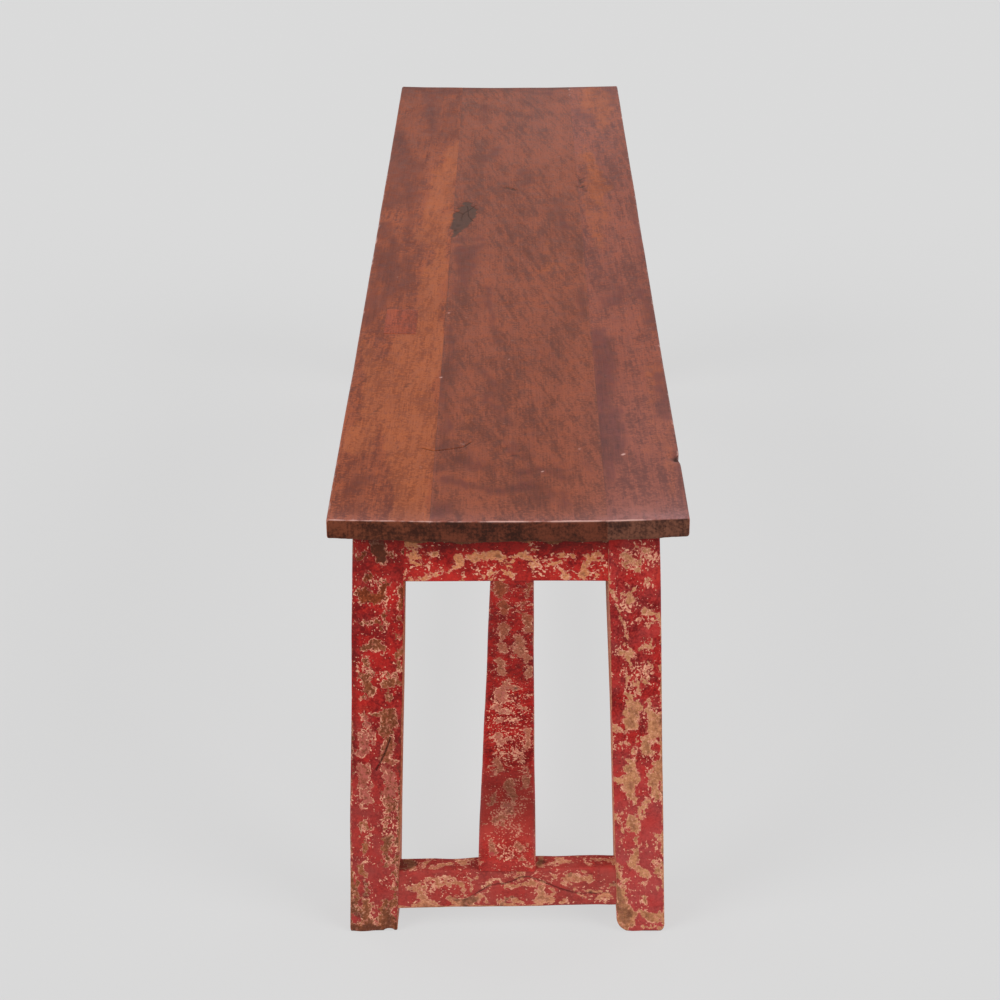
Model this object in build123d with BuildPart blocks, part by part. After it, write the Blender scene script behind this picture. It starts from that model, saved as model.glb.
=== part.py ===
"""A long, narrow joined bench: a top of three boards on four splayed legs.

Aprons under the top, a low stretcher at each end and one long flat stretcher that laps over both
tie the legs together. The joints are pegged mortises and tenons, and battens let into the side
aprons carry screws up into the boards.

Millimetres. X runs across the bench, Y along it and Z up. The pieces are made about the frame's
middle and moved at the end, so that the origin is on the floor under the middle of the top. The
near end is at -Y, and the left side at -X.
"""

import os

from build123d import *

# The whole bench
bench_length = 1640.0
bench_width = 370.0
bench_height = 540.0

# The top: three boards edge to edge, how far they reach past the frame on average, and how far
# their middle stands to the right of the frame's middle
top_thickness = 22.0
left_board_width = 105.0
right_board_width = 83.0
end_overhang = 20.0
side_overhang = 26.0
top_offset = 2.0
top_arris = 2.5
top_corner = 4.0

# Dowels in the seams between the boards
seam_dowel_radius = 4.0
seam_dowel_length = 44.0
seam_dowel_count = 8
seam_dowel_inset = 75.0

# The patch let into the left board
patch_width = 40.0
patch_length = 83.0
patch_depth = 7.0
patch_from_edge = 30.0
patch_from_near_end = 508.0

# Legs: each foot stands outside the top of its leg by leg_spread
leg_width = 54.0
leg_depth = 68.0
leg_spread = 21.0
leg_arris = 3.5
foot_corner = 4.0
worn_foot_corner = 16.0

# Aprons
apron_height = 62.0
apron_thickness = 24.0
apron_setback = 1.0
side_apron_setback = 2.0
apron_arris = 2.0

# End stretchers: the near one hangs lower on its left
stretcher_top = 87.0
stretcher_height = 51.0
stretcher_thickness = 27.0
stretcher_setback = 1.0
stretcher_arris = 3.0
near_stretcher_slope = 0.021
far_stretcher_slope = 0.0

# Long stretcher: a plank that runs a little askew and narrows towards the far end
plank_thickness = 26.0
plank_rise = 12.0
plank_lap = 14.0
plank_near_width = 64.0
plank_far_width = 58.0
plank_near_x = -0.7
plank_far_x = 14.0
plank_arris = 3.0

# Mortises and tenons
tenon_thickness = 9.0
tenon_length = 38.0
tenon_margin = 8.0
mortise_clearance = 0.15
mortise_end_gap = 0.8

# Pegs through the tenons
peg_radius = 4.0
peg_clearance = 0.1
peg_from_shoulder = 14.0
peg_pitch = 22.0
peg_stop = 6.0
peg_proud = 0.6

# Battens under the top
batten_width = 45.0
batten_thickness = 20.0
batten_from_end = 280.0
batten_stub = 10.0
batten_margin = 5.0

# Screws up through the battens
screw_radius = 2.2
screw_head_radius = 4.3
screw_length = 32.0
screw_clearance = 0.1

# Nails down through the long stretcher's laps
nail_radius = 1.7
nail_head_radius = 3.6
nail_head_thickness = 1.2
nail_length = 46.0
nail_pitch = 34.0
nail_clearance = 0.1

# Worked out from the sizes above
leg_top = bench_height - top_thickness
half_frame = bench_width / 2 - side_overhang
frame_end = bench_length / 2 - end_overhang
leg_back = frame_end - leg_depth
top_left = top_offset - bench_width / 2
top_right = top_offset + bench_width / 2
left_seam = top_left + left_board_width
right_seam = top_right - right_board_width
apron_bottom = leg_top - apron_height
stretcher_bottom = stretcher_top - stretcher_height
stretcher_back = frame_end - stretcher_setback - stretcher_thickness
plank_top = stretcher_top + plank_rise
lap_bottom = plank_top - plank_lap
plank_end = frame_end - stretcher_setback
seam_dowel_pitch = (bench_length - 2 * seam_dowel_inset) / (seam_dowel_count - 1)
batten_pitch = bench_length / 2 - batten_from_end
end_peg_length = leg_depth - peg_stop
side_peg_length = side_apron_setback + apron_thickness + peg_proud
apron_middle = (apron_bottom + leg_top) / 2
apron_peg_heights = [apron_middle - peg_pitch / 2, apron_middle + peg_pitch / 2]
stretcher_peg_heights = [(stretcher_bottom + stretcher_top) / 2]

NEAR, FAR = -1, 1
LEFT, RIGHT = -1, 1
CORNERS = [(LEFT, NEAR), (RIGHT, NEAR), (LEFT, FAR), (RIGHT, FAR)]


def outer_face(z):
    """How far a leg's outer face stands from the middle of the bench at height z."""
    return half_frame + leg_spread * (1 - z / leg_top)


def inner_face(z):
    """The same for the leg's inner face."""
    return outer_face(z) - leg_width


def apron_outer(z):
    """The same for a side apron's outer face, which leans with the legs."""
    return outer_face(z) - side_apron_setback


def apron_inner(z):
    """The same for a side apron's inner face."""
    return apron_outer(z) - apron_thickness


def meeting(side, z, slope, depth=0.0):
    """Where a line at height z, rising by slope along X, is depth inside a leg's inner face."""
    lean = leg_spread / leg_top
    x = side * (inner_face(0) + depth - lean * z) / (1 + side * lean * slope)
    return (x, z + slope * x)


def slab(outline, y_low, y_high, mode=Mode.ADD):
    """Gives an outline of (x, z) points its thickness from y_low to y_high."""
    with BuildSketch(Plane(origin=(0, y_high, 0), x_dir=(1, 0, 0), z_dir=(0, -1, 0))) as face:
        Polygon(*outline, align=None)
    extrude(face.sketch, amount=y_high - y_low, mode=mode)


def plan(outline, z_low, z_high, mode=Mode.ADD):
    """Gives an outline of (x, y) points its height from z_low to z_high."""
    with BuildSketch(Plane.XY.offset(z_low)) as face:
        Polygon(*outline, align=None)
    extrude(face.sketch, amount=z_high - z_low, mode=mode)


def rectangle(x_low, x_high, low, high):
    """The four corners of an upright rectangle, for slab or plan."""
    return [(x_low, low), (x_high, low), (x_high, high), (x_low, high)]


def both_ways(end, near, far):
    """A pair of distances from the middle as a low and a high Y at the given end."""
    return sorted((end * near, end * far))


def rods(places, radius, length, mode=Mode.ADD):
    """Round rods, each starting at one of the planes and running along its normal."""
    for place in places:
        with BuildSketch(place) as face:
            Circle(radius)
        extrude(face.sketch, amount=length, mode=mode)


# Tenons at the ends of the rails between two legs of one end


def cross_tenon(side, low, high, slope, grow=0.0):
    """A tenon's outline, or with grow above 0 its mortise's."""
    start = -mortise_clearance if grow else 0.0
    stop = tenon_length + (mortise_end_gap if grow else 0.0)
    z_low, z_high = low + tenon_margin - grow, high - tenon_margin + grow
    return [
        meeting(side, z_low, slope, start),
        meeting(side, z_low, slope, stop),
        meeting(side, z_high, slope, stop),
        meeting(side, z_high, slope, start),
    ]


def cross_rail_span(end, setback, thickness, grow=0.0):
    """The low and high Y of the tenon of a rail that is setback from the frame's end."""
    middle = frame_end - setback - thickness / 2
    half = tenon_thickness / 2 + grow
    return both_ways(end, middle - half, middle + half)


def cross_rail(end, low, high, slope, setback, thickness, arris):
    """A rail between the two legs of one end, with its tenons."""
    outline = [
        meeting(LEFT, low, slope),
        meeting(RIGHT, low, slope),
        meeting(RIGHT, high, slope),
        meeting(LEFT, high, slope),
    ]
    back = frame_end - setback - thickness
    with BuildPart() as rail:
        slab(outline, *both_ways(end, back, frame_end - setback))
        long_edges = rail.edges().sort_by(SortBy.LENGTH)[-4:]
        fillet(long_edges.sort_by(Axis.Z)[:2], radius=arris)
        for side in (LEFT, RIGHT):
            slab(cross_tenon(side, low, high, slope), *cross_rail_span(end, setback, thickness))
    return rail.part


# Tenons at the ends of the side aprons


def side_tenon(side, grow=0.0):
    """The outline, across the bench, of a side apron's tenon or its mortise."""
    middle = side_apron_setback + apron_thickness / 2
    near, far = middle - tenon_thickness / 2 - grow, middle + tenon_thickness / 2 + grow
    low, high = apron_bottom + tenon_margin - grow, leg_top - tenon_margin + grow
    return [
        (side * (outer_face(low) - far), low),
        (side * (outer_face(low) - near), low),
        (side * (outer_face(high) - near), high),
        (side * (outer_face(high) - far), high),
    ]


# Where the pegs go


def end_peg_places(end, heights):
    """Pegs driven from the back of both legs of one end, towards the frame's end face."""
    return [
        Plane(
            origin=(side * (inner_face(z) + peg_from_shoulder), end * leg_back, z),
            x_dir=(1, 0, 0),
            z_dir=(0, end, 0),
        )
        for side in (LEFT, RIGHT)
        for z in heights
    ]


def side_peg_places(side, end):
    """Pegs driven from a leg's outer face through the side apron's tenon."""
    y = end * (leg_back + peg_from_shoulder)
    return [
        Plane(
            origin=(side * (outer_face(z) + peg_proud), y, z),
            x_dir=(0, 1, 0),
            z_dir=(-side, 0, 0),
        )
        for z in apron_peg_heights
    ]


def peg_holes(side_places, end_places):
    """Cuts the holes of the pegs that pass through the piece being made."""
    radius = peg_radius + peg_clearance
    rods(side_places, radius, side_peg_length + peg_clearance, Mode.SUBTRACT)
    rods(end_places, radius, end_peg_length + peg_clearance, Mode.SUBTRACT)


# Legs


def slope_at(end):
    """How the end stretcher at that end rises along X."""
    return near_stretcher_slope if end == NEAR else far_stretcher_slope


def make_leg(side, end):
    """One leg with its mortises and peg holes; the near right foot is worn round inside."""
    worn = side == RIGHT and end == NEAR
    y_low, y_high = both_ways(end, leg_back, frame_end)
    face = Plane(origin=(0, y_high, 0), x_dir=(1, 0, 0), z_dir=(0, -1, 0))
    with BuildPart() as leg:
        with BuildSketch(face) as outline:
            Polygon(
                (side * inner_face(0), 0),
                (side * outer_face(0), 0),
                (side * outer_face(leg_top), leg_top),
                (side * inner_face(leg_top), leg_top),
                align=None,
            )
            outer, inner = (-1, 0) if side == RIGHT else (0, -1)
            inner_radius = worn_foot_corner if worn else foot_corner
            for place, radius in ((outer, foot_corner), (inner, inner_radius)):
                corners = outline.vertices().group_by(Axis.Y)[0].sort_by(Axis.X)
                fillet(corners[place], radius=radius)
        extrude(amount=y_high - y_low)
        fillet(leg.edges().sort_by(SortBy.LENGTH)[-4:], radius=leg_arris)
        slab(
            cross_tenon(side, apron_bottom, leg_top, 0.0, mortise_clearance),
            *cross_rail_span(end, apron_setback, apron_thickness, mortise_clearance),
            mode=Mode.SUBTRACT,
        )
        slab(
            cross_tenon(side, stretcher_bottom, stretcher_top, slope_at(end), mortise_clearance),
            *cross_rail_span(end, stretcher_setback, stretcher_thickness, mortise_clearance),
            mode=Mode.SUBTRACT,
        )
        reach = leg_back + tenon_length + mortise_end_gap
        slab(
            side_tenon(side, mortise_clearance),
            *both_ways(end, leg_back - mortise_clearance, reach),
            mode=Mode.SUBTRACT,
        )
        peg_holes(
            side_peg_places(side, end),
            end_peg_places(end, apron_peg_heights + stretcher_peg_heights),
        )
    return leg.part


# Rails


def make_end_apron(end):
    """The apron between the legs of one end."""
    rail = cross_rail(
        end, apron_bottom, leg_top, 0.0, apron_setback, apron_thickness, apron_arris
    )
    with BuildPart() as apron:
        add(rail)
        peg_holes([], end_peg_places(end, apron_peg_heights))
    return apron.part


def make_end_stretcher(end):
    """The low stretcher of one end, with a shallow housing for the long stretcher's lap."""
    rail = cross_rail(
        end,
        stretcher_bottom,
        stretcher_top,
        slope_at(end),
        stretcher_setback,
        stretcher_thickness,
        stretcher_arris,
    )
    with BuildPart() as stretcher:
        add(rail)
        plan(plank_outline(mortise_clearance), lap_bottom, plank_top, mode=Mode.SUBTRACT)
        peg_holes([], end_peg_places(end, stretcher_peg_heights))
        rods(nail_places(end), nail_radius + nail_clearance, nail_length, Mode.SUBTRACT)
    return stretcher.part


def make_side_apron(side):
    """A side apron with a tenon at each end and a mortise for each batten."""
    outline = [
        (side * apron_inner(apron_bottom), apron_bottom),
        (side * apron_outer(apron_bottom), apron_bottom),
        (side * apron_outer(leg_top), leg_top),
        (side * apron_inner(leg_top), leg_top),
    ]
    with BuildPart() as apron:
        slab(outline, -leg_back, leg_back)
        long_edges = apron.edges().filter_by(Axis.Y).sort_by(Axis.Z)
        fillet(long_edges[:2], radius=apron_arris)
        slab(side_tenon(side), -leg_back - tenon_length, leg_back + tenon_length)
        for y in batten_places():
            slab(batten_stub_outline(side, True), *stub_span(y, True), mode=Mode.SUBTRACT)
        for end in (NEAR, FAR):
            peg_holes(side_peg_places(side, end), [])
    return apron.part


# The long stretcher


def plank_x(y):
    """The middle of the long stretcher's width at y."""
    share = (y + plank_end) / (2 * plank_end)
    return plank_near_x + (plank_far_x - plank_near_x) * share


def plank_outline(grow=0.0):
    """The long stretcher seen from above, or grown by a clearance."""
    near, far = plank_near_width / 2 + grow, plank_far_width / 2 + grow
    y = plank_end + grow
    return [
        (plank_near_x - near, -y),
        (plank_near_x + near, -y),
        (plank_far_x + far, y),
        (plank_far_x - far, y),
    ]


def nail_places(end):
    """The nails that hold a lap down, as planes at the top of their heads."""
    y = end * (stretcher_back + stretcher_thickness / 2)
    return [
        Plane(origin=(plank_x(y) + x, y, plank_top), x_dir=(1, 0, 0), z_dir=(0, 0, -1))
        for x in (-nail_pitch / 2, nail_pitch / 2)
    ]


def make_long_stretcher():
    """The plank along the middle, thinned at both ends where it laps over the end stretchers."""
    half_width = bench_width / 2
    with BuildPart() as plank:
        plan(plank_outline(), plank_top - plank_thickness, plank_top)
        fillet(plank.edges().sort_by(SortBy.LENGTH)[-4:], radius=plank_arris)
        for end in (NEAR, FAR):
            y_low, y_high = both_ways(end, stretcher_back, bench_length / 2)
            below = rectangle(-half_width, half_width, y_low, y_high)
            plan(below, stretcher_bottom, lap_bottom, mode=Mode.SUBTRACT)
            places = nail_places(end)
            rods(places, nail_radius + nail_clearance, nail_length, Mode.SUBTRACT)
            head = nail_head_radius + nail_clearance
            rods(places, head, nail_head_thickness, Mode.SUBTRACT)
    return plank.part


def make_nails(end):
    """Round nails with flat heads, sunk flush."""
    with BuildPart() as nails:
        for place in nail_places(end):
            rods([place], nail_radius, nail_length)
            rods([place], nail_head_radius, nail_head_thickness)
    return nails.part


# Battens and their screws


def batten_places():
    """The Y of each batten's middle."""
    return [-batten_pitch, 0.0, batten_pitch]


def batten_stub_outline(side, mortise=False):
    """The stub on one end of a batten, across the bench, or its mortise in the side apron."""
    grow = mortise_clearance if mortise else 0.0
    reach = batten_stub + (mortise_end_gap if mortise else 0.0)
    low = leg_top - batten_thickness + batten_margin - grow
    high = leg_top - batten_margin + grow
    return [
        (side * (apron_inner(low) - grow), low),
        (side * (apron_inner(low) + reach), low),
        (side * (apron_inner(high) + reach), high),
        (side * (apron_inner(high) - grow), high),
    ]


def stub_span(y, mortise=False):
    """The low and high Y of a batten's stub, or of its mortise."""
    half = batten_width / 2 - batten_margin + (mortise_clearance if mortise else 0.0)
    return y - half, y + half


def screw_places(y):
    """The screws of the batten at y: one in each side board and two in the middle one."""
    edge = apron_inner(leg_top)
    quarter = (right_seam - left_seam) / 4
    across = [
        (left_seam - edge) / 2,
        left_seam + quarter,
        right_seam - quarter,
        (right_seam + edge) / 2,
    ]
    return [
        Plane(origin=(x, y, leg_top - batten_thickness), x_dir=(1, 0, 0), z_dir=(0, 0, 1))
        for x in across
    ]


def screw_shapes(y, grow=0.0, mode=Mode.ADD):
    """Countersunk screws that point up, or with grow above 0 the holes that they fill."""
    head = screw_head_radius - screw_radius
    for place in screw_places(y):
        side_view = Plane(origin=place.origin, x_dir=(1, 0, 0), z_dir=(0, -1, 0))
        with BuildSketch(side_view) as profile:
            with BuildLine():
                Polyline(
                    (0, 0),
                    (screw_head_radius + grow, 0),
                    (screw_radius + grow, head),
                    (screw_radius + grow, screw_length - screw_radius),
                    (0, screw_length + grow),
                    close=True,
                )
            make_face()
        revolve(profile.sketch, axis=Axis(place.origin, (0, 0, 1)), mode=mode)


def make_batten(y):
    """A cross batten under the boards, with a stub in each side apron."""
    low = leg_top - batten_thickness
    outline = [
        (-apron_inner(low), low),
        (apron_inner(low), low),
        (apron_inner(leg_top), leg_top),
        (-apron_inner(leg_top), leg_top),
    ]
    with BuildPart() as batten:
        slab(outline, y - batten_width / 2, y + batten_width / 2)
        for side in (LEFT, RIGHT):
            slab(batten_stub_outline(side), *stub_span(y))
        screw_shapes(y, screw_clearance, Mode.SUBTRACT)
    return batten.part


def make_screws(y):
    """The screws of one batten."""
    with BuildPart() as screws:
        screw_shapes(y)
    return screws.part


# The top


def seam_rods(seam, radius, length, mode=Mode.ADD):
    """Rods across one seam, half in each board."""
    middle = (leg_top + bench_height) / 2
    places = [
        Plane(
            origin=(seam - length / 2, (i - (seam_dowel_count - 1) / 2) * seam_dowel_pitch, middle),
            x_dir=(0, 1, 0),
            z_dir=(1, 0, 0),
        )
        for i in range(seam_dowel_count)
    ]
    rods(places, radius, length, mode)


def make_seam_dowels(seam):
    """The dowels of one seam."""
    with BuildPart() as dowels:
        seam_rods(seam, seam_dowel_radius, seam_dowel_length)
    return dowels.part


def make_board(x_low, x_high, seams):
    """One board, rounded where it meets the top's outline, and bored for dowels and screws."""
    half_length = bench_length / 2

    def inside(edge):
        return abs(edge.center().X - top_offset) < bench_width / 2 - top_corner

    with BuildPart() as board:
        plan(rectangle(x_low, x_high, -half_length, half_length), leg_top, bench_height)
        corners = board.edges().filter_by(Axis.Z).filter_by(lambda edge: not inside(edge))
        if corners:
            fillet(corners, radius=top_corner)
        for face in board.faces().filter_by(Plane.XY):
            rim = face.edges().filter_by(
                lambda edge: not (inside(edge) and edge.length > half_length)
            )
            fillet(rim, radius=top_arris)
        for seam in seams:
            radius = seam_dowel_radius + peg_clearance
            seam_rods(seam, radius, seam_dowel_length + mortise_end_gap, Mode.SUBTRACT)
        for y in batten_places():
            screw_shapes(y, screw_clearance, Mode.SUBTRACT)
    return board.part


def patch_outline(grow=0.0):
    """The patch seen from above, or its recess."""
    x = top_left + patch_from_edge
    y = -bench_length / 2 + patch_from_near_end
    return rectangle(x - grow, x + patch_width + grow, y - grow, y + patch_length + grow)


def make_left_board():
    """The left board with the recess for its patch."""
    board = make_board(top_left, left_seam, [left_seam])
    with BuildPart() as patched:
        add(board)
        recess = patch_outline(mortise_clearance)
        plan(recess, bench_height - patch_depth, bench_height, mode=Mode.SUBTRACT)
    return patched.part


def make_patch():
    """A thin block let into the left board, flush with it."""
    with BuildPart() as patch:
        plan(patch_outline(), bench_height - patch_depth, bench_height)
    return patch.part


# Pegs


def make_end_pegs(end, heights):
    """The pegs of one end rail, both legs."""
    with BuildPart() as pegs:
        rods(end_peg_places(end, heights), peg_radius, end_peg_length)
    return pegs.part


def make_side_pegs(side):
    """The pegs of one side apron, both legs."""
    with BuildPart() as pegs:
        for end in (NEAR, FAR):
            rods(side_peg_places(side, end), peg_radius, side_peg_length)
    return pegs.part


def make_all():
    """Every piece by name."""
    pieces = {
        "top_board_left": make_left_board(),
        "top_board_middle": make_board(left_seam, right_seam, [left_seam, right_seam]),
        "top_board_right": make_board(right_seam, top_right, [right_seam]),
        "top_patch": make_patch(),
        "left_seam_dowels": make_seam_dowels(left_seam),
        "right_seam_dowels": make_seam_dowels(right_seam),
        "left_apron": make_side_apron(LEFT),
        "right_apron": make_side_apron(RIGHT),
        "left_apron_pegs": make_side_pegs(LEFT),
        "right_apron_pegs": make_side_pegs(RIGHT),
        "long_stretcher": make_long_stretcher(),
    }
    for side, end in CORNERS:
        name = ("near" if end == NEAR else "far") + ("_left" if side == LEFT else "_right")
        pieces[name + "_leg"] = make_leg(side, end)
    for name, end in (("near", NEAR), ("far", FAR)):
        pieces[name + "_apron"] = make_end_apron(end)
        pieces[name + "_apron_pegs"] = make_end_pegs(end, apron_peg_heights)
        pieces[name + "_stretcher"] = make_end_stretcher(end)
        pieces[name + "_stretcher_pegs"] = make_end_pegs(end, stretcher_peg_heights)
        pieces[name + "_lap_nails"] = make_nails(end)
    for name, y in zip(("near", "middle", "far"), batten_places()):
        pieces[name + "_batten"] = make_batten(y)
        pieces[name + "_batten_screws"] = make_screws(y)
    return pieces


os.makedirs("parts", exist_ok=True)
for label, shape in make_all().items():
    shape.move(Location((-top_offset, 0, 0)))
    shape.label = label
    export_step(shape, f"parts/{label}.step")
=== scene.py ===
"""The finish and worn shapes of a long, narrow bench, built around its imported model.

The top is three old boards under a dark red-brown stain. The base is painted red over a pale primer
that has chipped down to the wood. X runs across the bench, Y along it and Z up; the near end is at
-Y and the left side at -X. Sizes are in millimetres until a piece is finished.
"""

from math import cos, radians, sin, sqrt, tau

import bmesh
import bpy
import numpy as np
from mathutils import Matrix, Vector


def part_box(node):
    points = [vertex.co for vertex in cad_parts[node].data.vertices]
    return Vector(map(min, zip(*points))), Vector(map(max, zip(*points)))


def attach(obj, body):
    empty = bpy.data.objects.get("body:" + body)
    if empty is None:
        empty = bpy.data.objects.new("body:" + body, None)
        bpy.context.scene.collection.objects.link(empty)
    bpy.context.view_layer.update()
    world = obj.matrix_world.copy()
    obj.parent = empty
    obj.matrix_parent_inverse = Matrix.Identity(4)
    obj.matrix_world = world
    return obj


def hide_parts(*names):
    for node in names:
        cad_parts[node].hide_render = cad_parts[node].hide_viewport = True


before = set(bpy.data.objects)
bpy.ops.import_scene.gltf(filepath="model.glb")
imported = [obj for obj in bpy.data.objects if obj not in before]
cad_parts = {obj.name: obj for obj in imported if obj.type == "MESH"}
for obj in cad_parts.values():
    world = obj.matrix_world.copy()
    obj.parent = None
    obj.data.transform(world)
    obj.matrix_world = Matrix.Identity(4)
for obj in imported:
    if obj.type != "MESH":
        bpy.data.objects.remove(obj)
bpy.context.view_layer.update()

MM = 0.001
X, Y, Z = 0, 1, 2
NEAR, FAR = -1, 1
LEFT, RIGHT = -1, 1
ENDS = {"near": NEAR, "far": FAR}
SIDES = {"left": LEFT, "right": RIGHT}

# How finely a piece is meshed: the near end is close to the eye
SPACING = {NEAR: 2.0, FAR: 4.0}
BOARD_SPACING = 4.0
PATCH_SPACING = 3.0
PLANK_SPACING = 3.0

# How far arrises are rounded: a board's at a seam is barely broken
LEG_ARRIS = 2.0
RAIL_ARRIS = 1.5
WORN_ARRIS = 2.5
PATCH_ARRIS = 0.4
SEAM_ARRIS = 0.1

# How far a rail runs into the leg or board that hides its end
HIDDEN_END = 6.0

# Where the random draws of each kind of piece start
TOP_SEED = 11
LEG_SEEDS = {"near_left": 20, "near_right": 30, "far_left": 60, "far_right": 70}
APRON_SEEDS = {NEAR: 110, FAR: 130}
STRETCHER_SEEDS = {NEAR: 150, FAR: 170}
SIDE_SEEDS = {LEFT: 190, RIGHT: 210}
PLANK_SEED = 231
BATTEN_SEED = 251
FOOT_SEED = 501

# How many waves an unevenness is made of
WAVES = 14
# How close brush strokes come before they melt together, and the depth inside a stroke of a point
# that is nowhere near it
MELT = 1.2
OUTSIDE = -60.0
# How steeply soft clouds fade
FADE = 1.4
# How thin a slice of a block counts as its surface, and a length too small to matter
SLICE = 0.1
TINY = 0.01


def extent(node):
    """The lowest and highest corners of a node, in millimetres."""
    low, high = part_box(node)
    return np.array(low) / MM, np.array(high) / MM


def others(axis):
    """The two axes that aren't this one."""
    return [other for other in (X, Y, Z) if other != axis]


def linear(red, green, blue):
    """A screen colour as the shader needs it."""
    parts = [value / 255 for value in (red, green, blue)]
    return tuple(
        part / 12.92 if part <= 0.04045 else ((part + 0.055) / 1.055) ** 2.4 for part in parts
    ) + (1.0,)


# Places and shapes on a surface


def wobble(place, reach, seed):
    """Smooth unevenness about zero, with a spread of 1 and humps about reach millimetres wide."""
    draw = np.random.default_rng(seed)
    heading = draw.normal(size=(WAVES, 3)) * 2.2 / reach
    phase = draw.uniform(0, tau, WAVES)
    return np.sin(place @ heading.T + phase).sum(axis=1) * sqrt(2 / WAVES)


def squeezed(axis, share):
    """A scale that draws a pattern out along one axis."""
    return np.where(np.arange(3) == axis, share, 1.0)


def beside(points, start, end):
    """How far along a piece of line each point is, from 0 to 1, and how far from it."""
    start, run = np.array(start, float), np.subtract(end, start)
    share = np.clip((points - start) @ run / max(run @ run, 1e-6), 0, 1)
    return share, np.linalg.norm(points - start - share[:, None] * run, axis=1)


def from_line(points, line):
    """How far each point of a plane is from a line of points in it."""
    return np.min([beside(points, *ends)[1] for ends in zip(line, line[1:])], axis=0)


def into_strokes(points, strokes):
    """How deep each point lies inside brush strokes that melt together, in millimetres.

    A stroke is a run of (across, up, half width) places.
    """
    together = np.full(len(points), 1e-12)
    for stroke in strokes:
        nearest = np.full(len(points), OUTSIDE)
        for first, last in zip(stroke, stroke[1:] or stroke):
            share, gap = beside(points, first[:2], last[:2])
            nearest = np.maximum(nearest, first[2] + (last[2] - first[2]) * share - gap)
        together += np.exp(nearest / MELT)
    return MELT * np.log(together)


def wandering(points, place, seed, push=1.6, reach=10):
    """Points pushed about a little, so that listed strokes get wandering outlines."""
    broad = [wobble(place, reach, seed + share) for share in (0, 1)]
    fine = [wobble(place, reach * 0.4, seed + share) for share in (2, 3)]
    return points + push * np.stack(broad, axis=1) + push / 2 * np.stack(fine, axis=1)


def soft(points, spots):
    """How strongly each point belongs to soft oval clouds, from 0 to 1."""
    amount = np.zeros(len(points))
    for across, along, half_width, half_length in spots:
        reach = np.hypot((points[:, 0] - across) / half_width, (points[:, 1] - along) / half_length)
        amount = np.maximum(amount, np.exp(-FADE * reach**2))
    return amount


def rise(values, low, high):
    """A smooth step from 0 at low to 1 at high."""
    share = np.clip((values - low) / (high - low), 0, 1)
    return share * share * (3 - 2 * share)


def fall(values, low, high):
    """A smooth step from 1 at low to 0 at high."""
    return 1 - rise(values, low, high)


def blended(field, other, weight):
    """A field that gives way to another where the weight is 1."""
    return field * (1 - weight) + other * weight


def put_in_place(mesh, node, material):
    """Shows a smooth mesh of one material instead of a node."""
    mesh.polygons.foreach_set("use_smooth", [True] * len(mesh.polygons))
    mesh.materials.append(material)
    piece = bpy.data.objects.new(mesh.name, mesh)
    bpy.context.scene.collection.objects.link(piece)
    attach(piece, "root")
    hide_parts(node)


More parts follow.
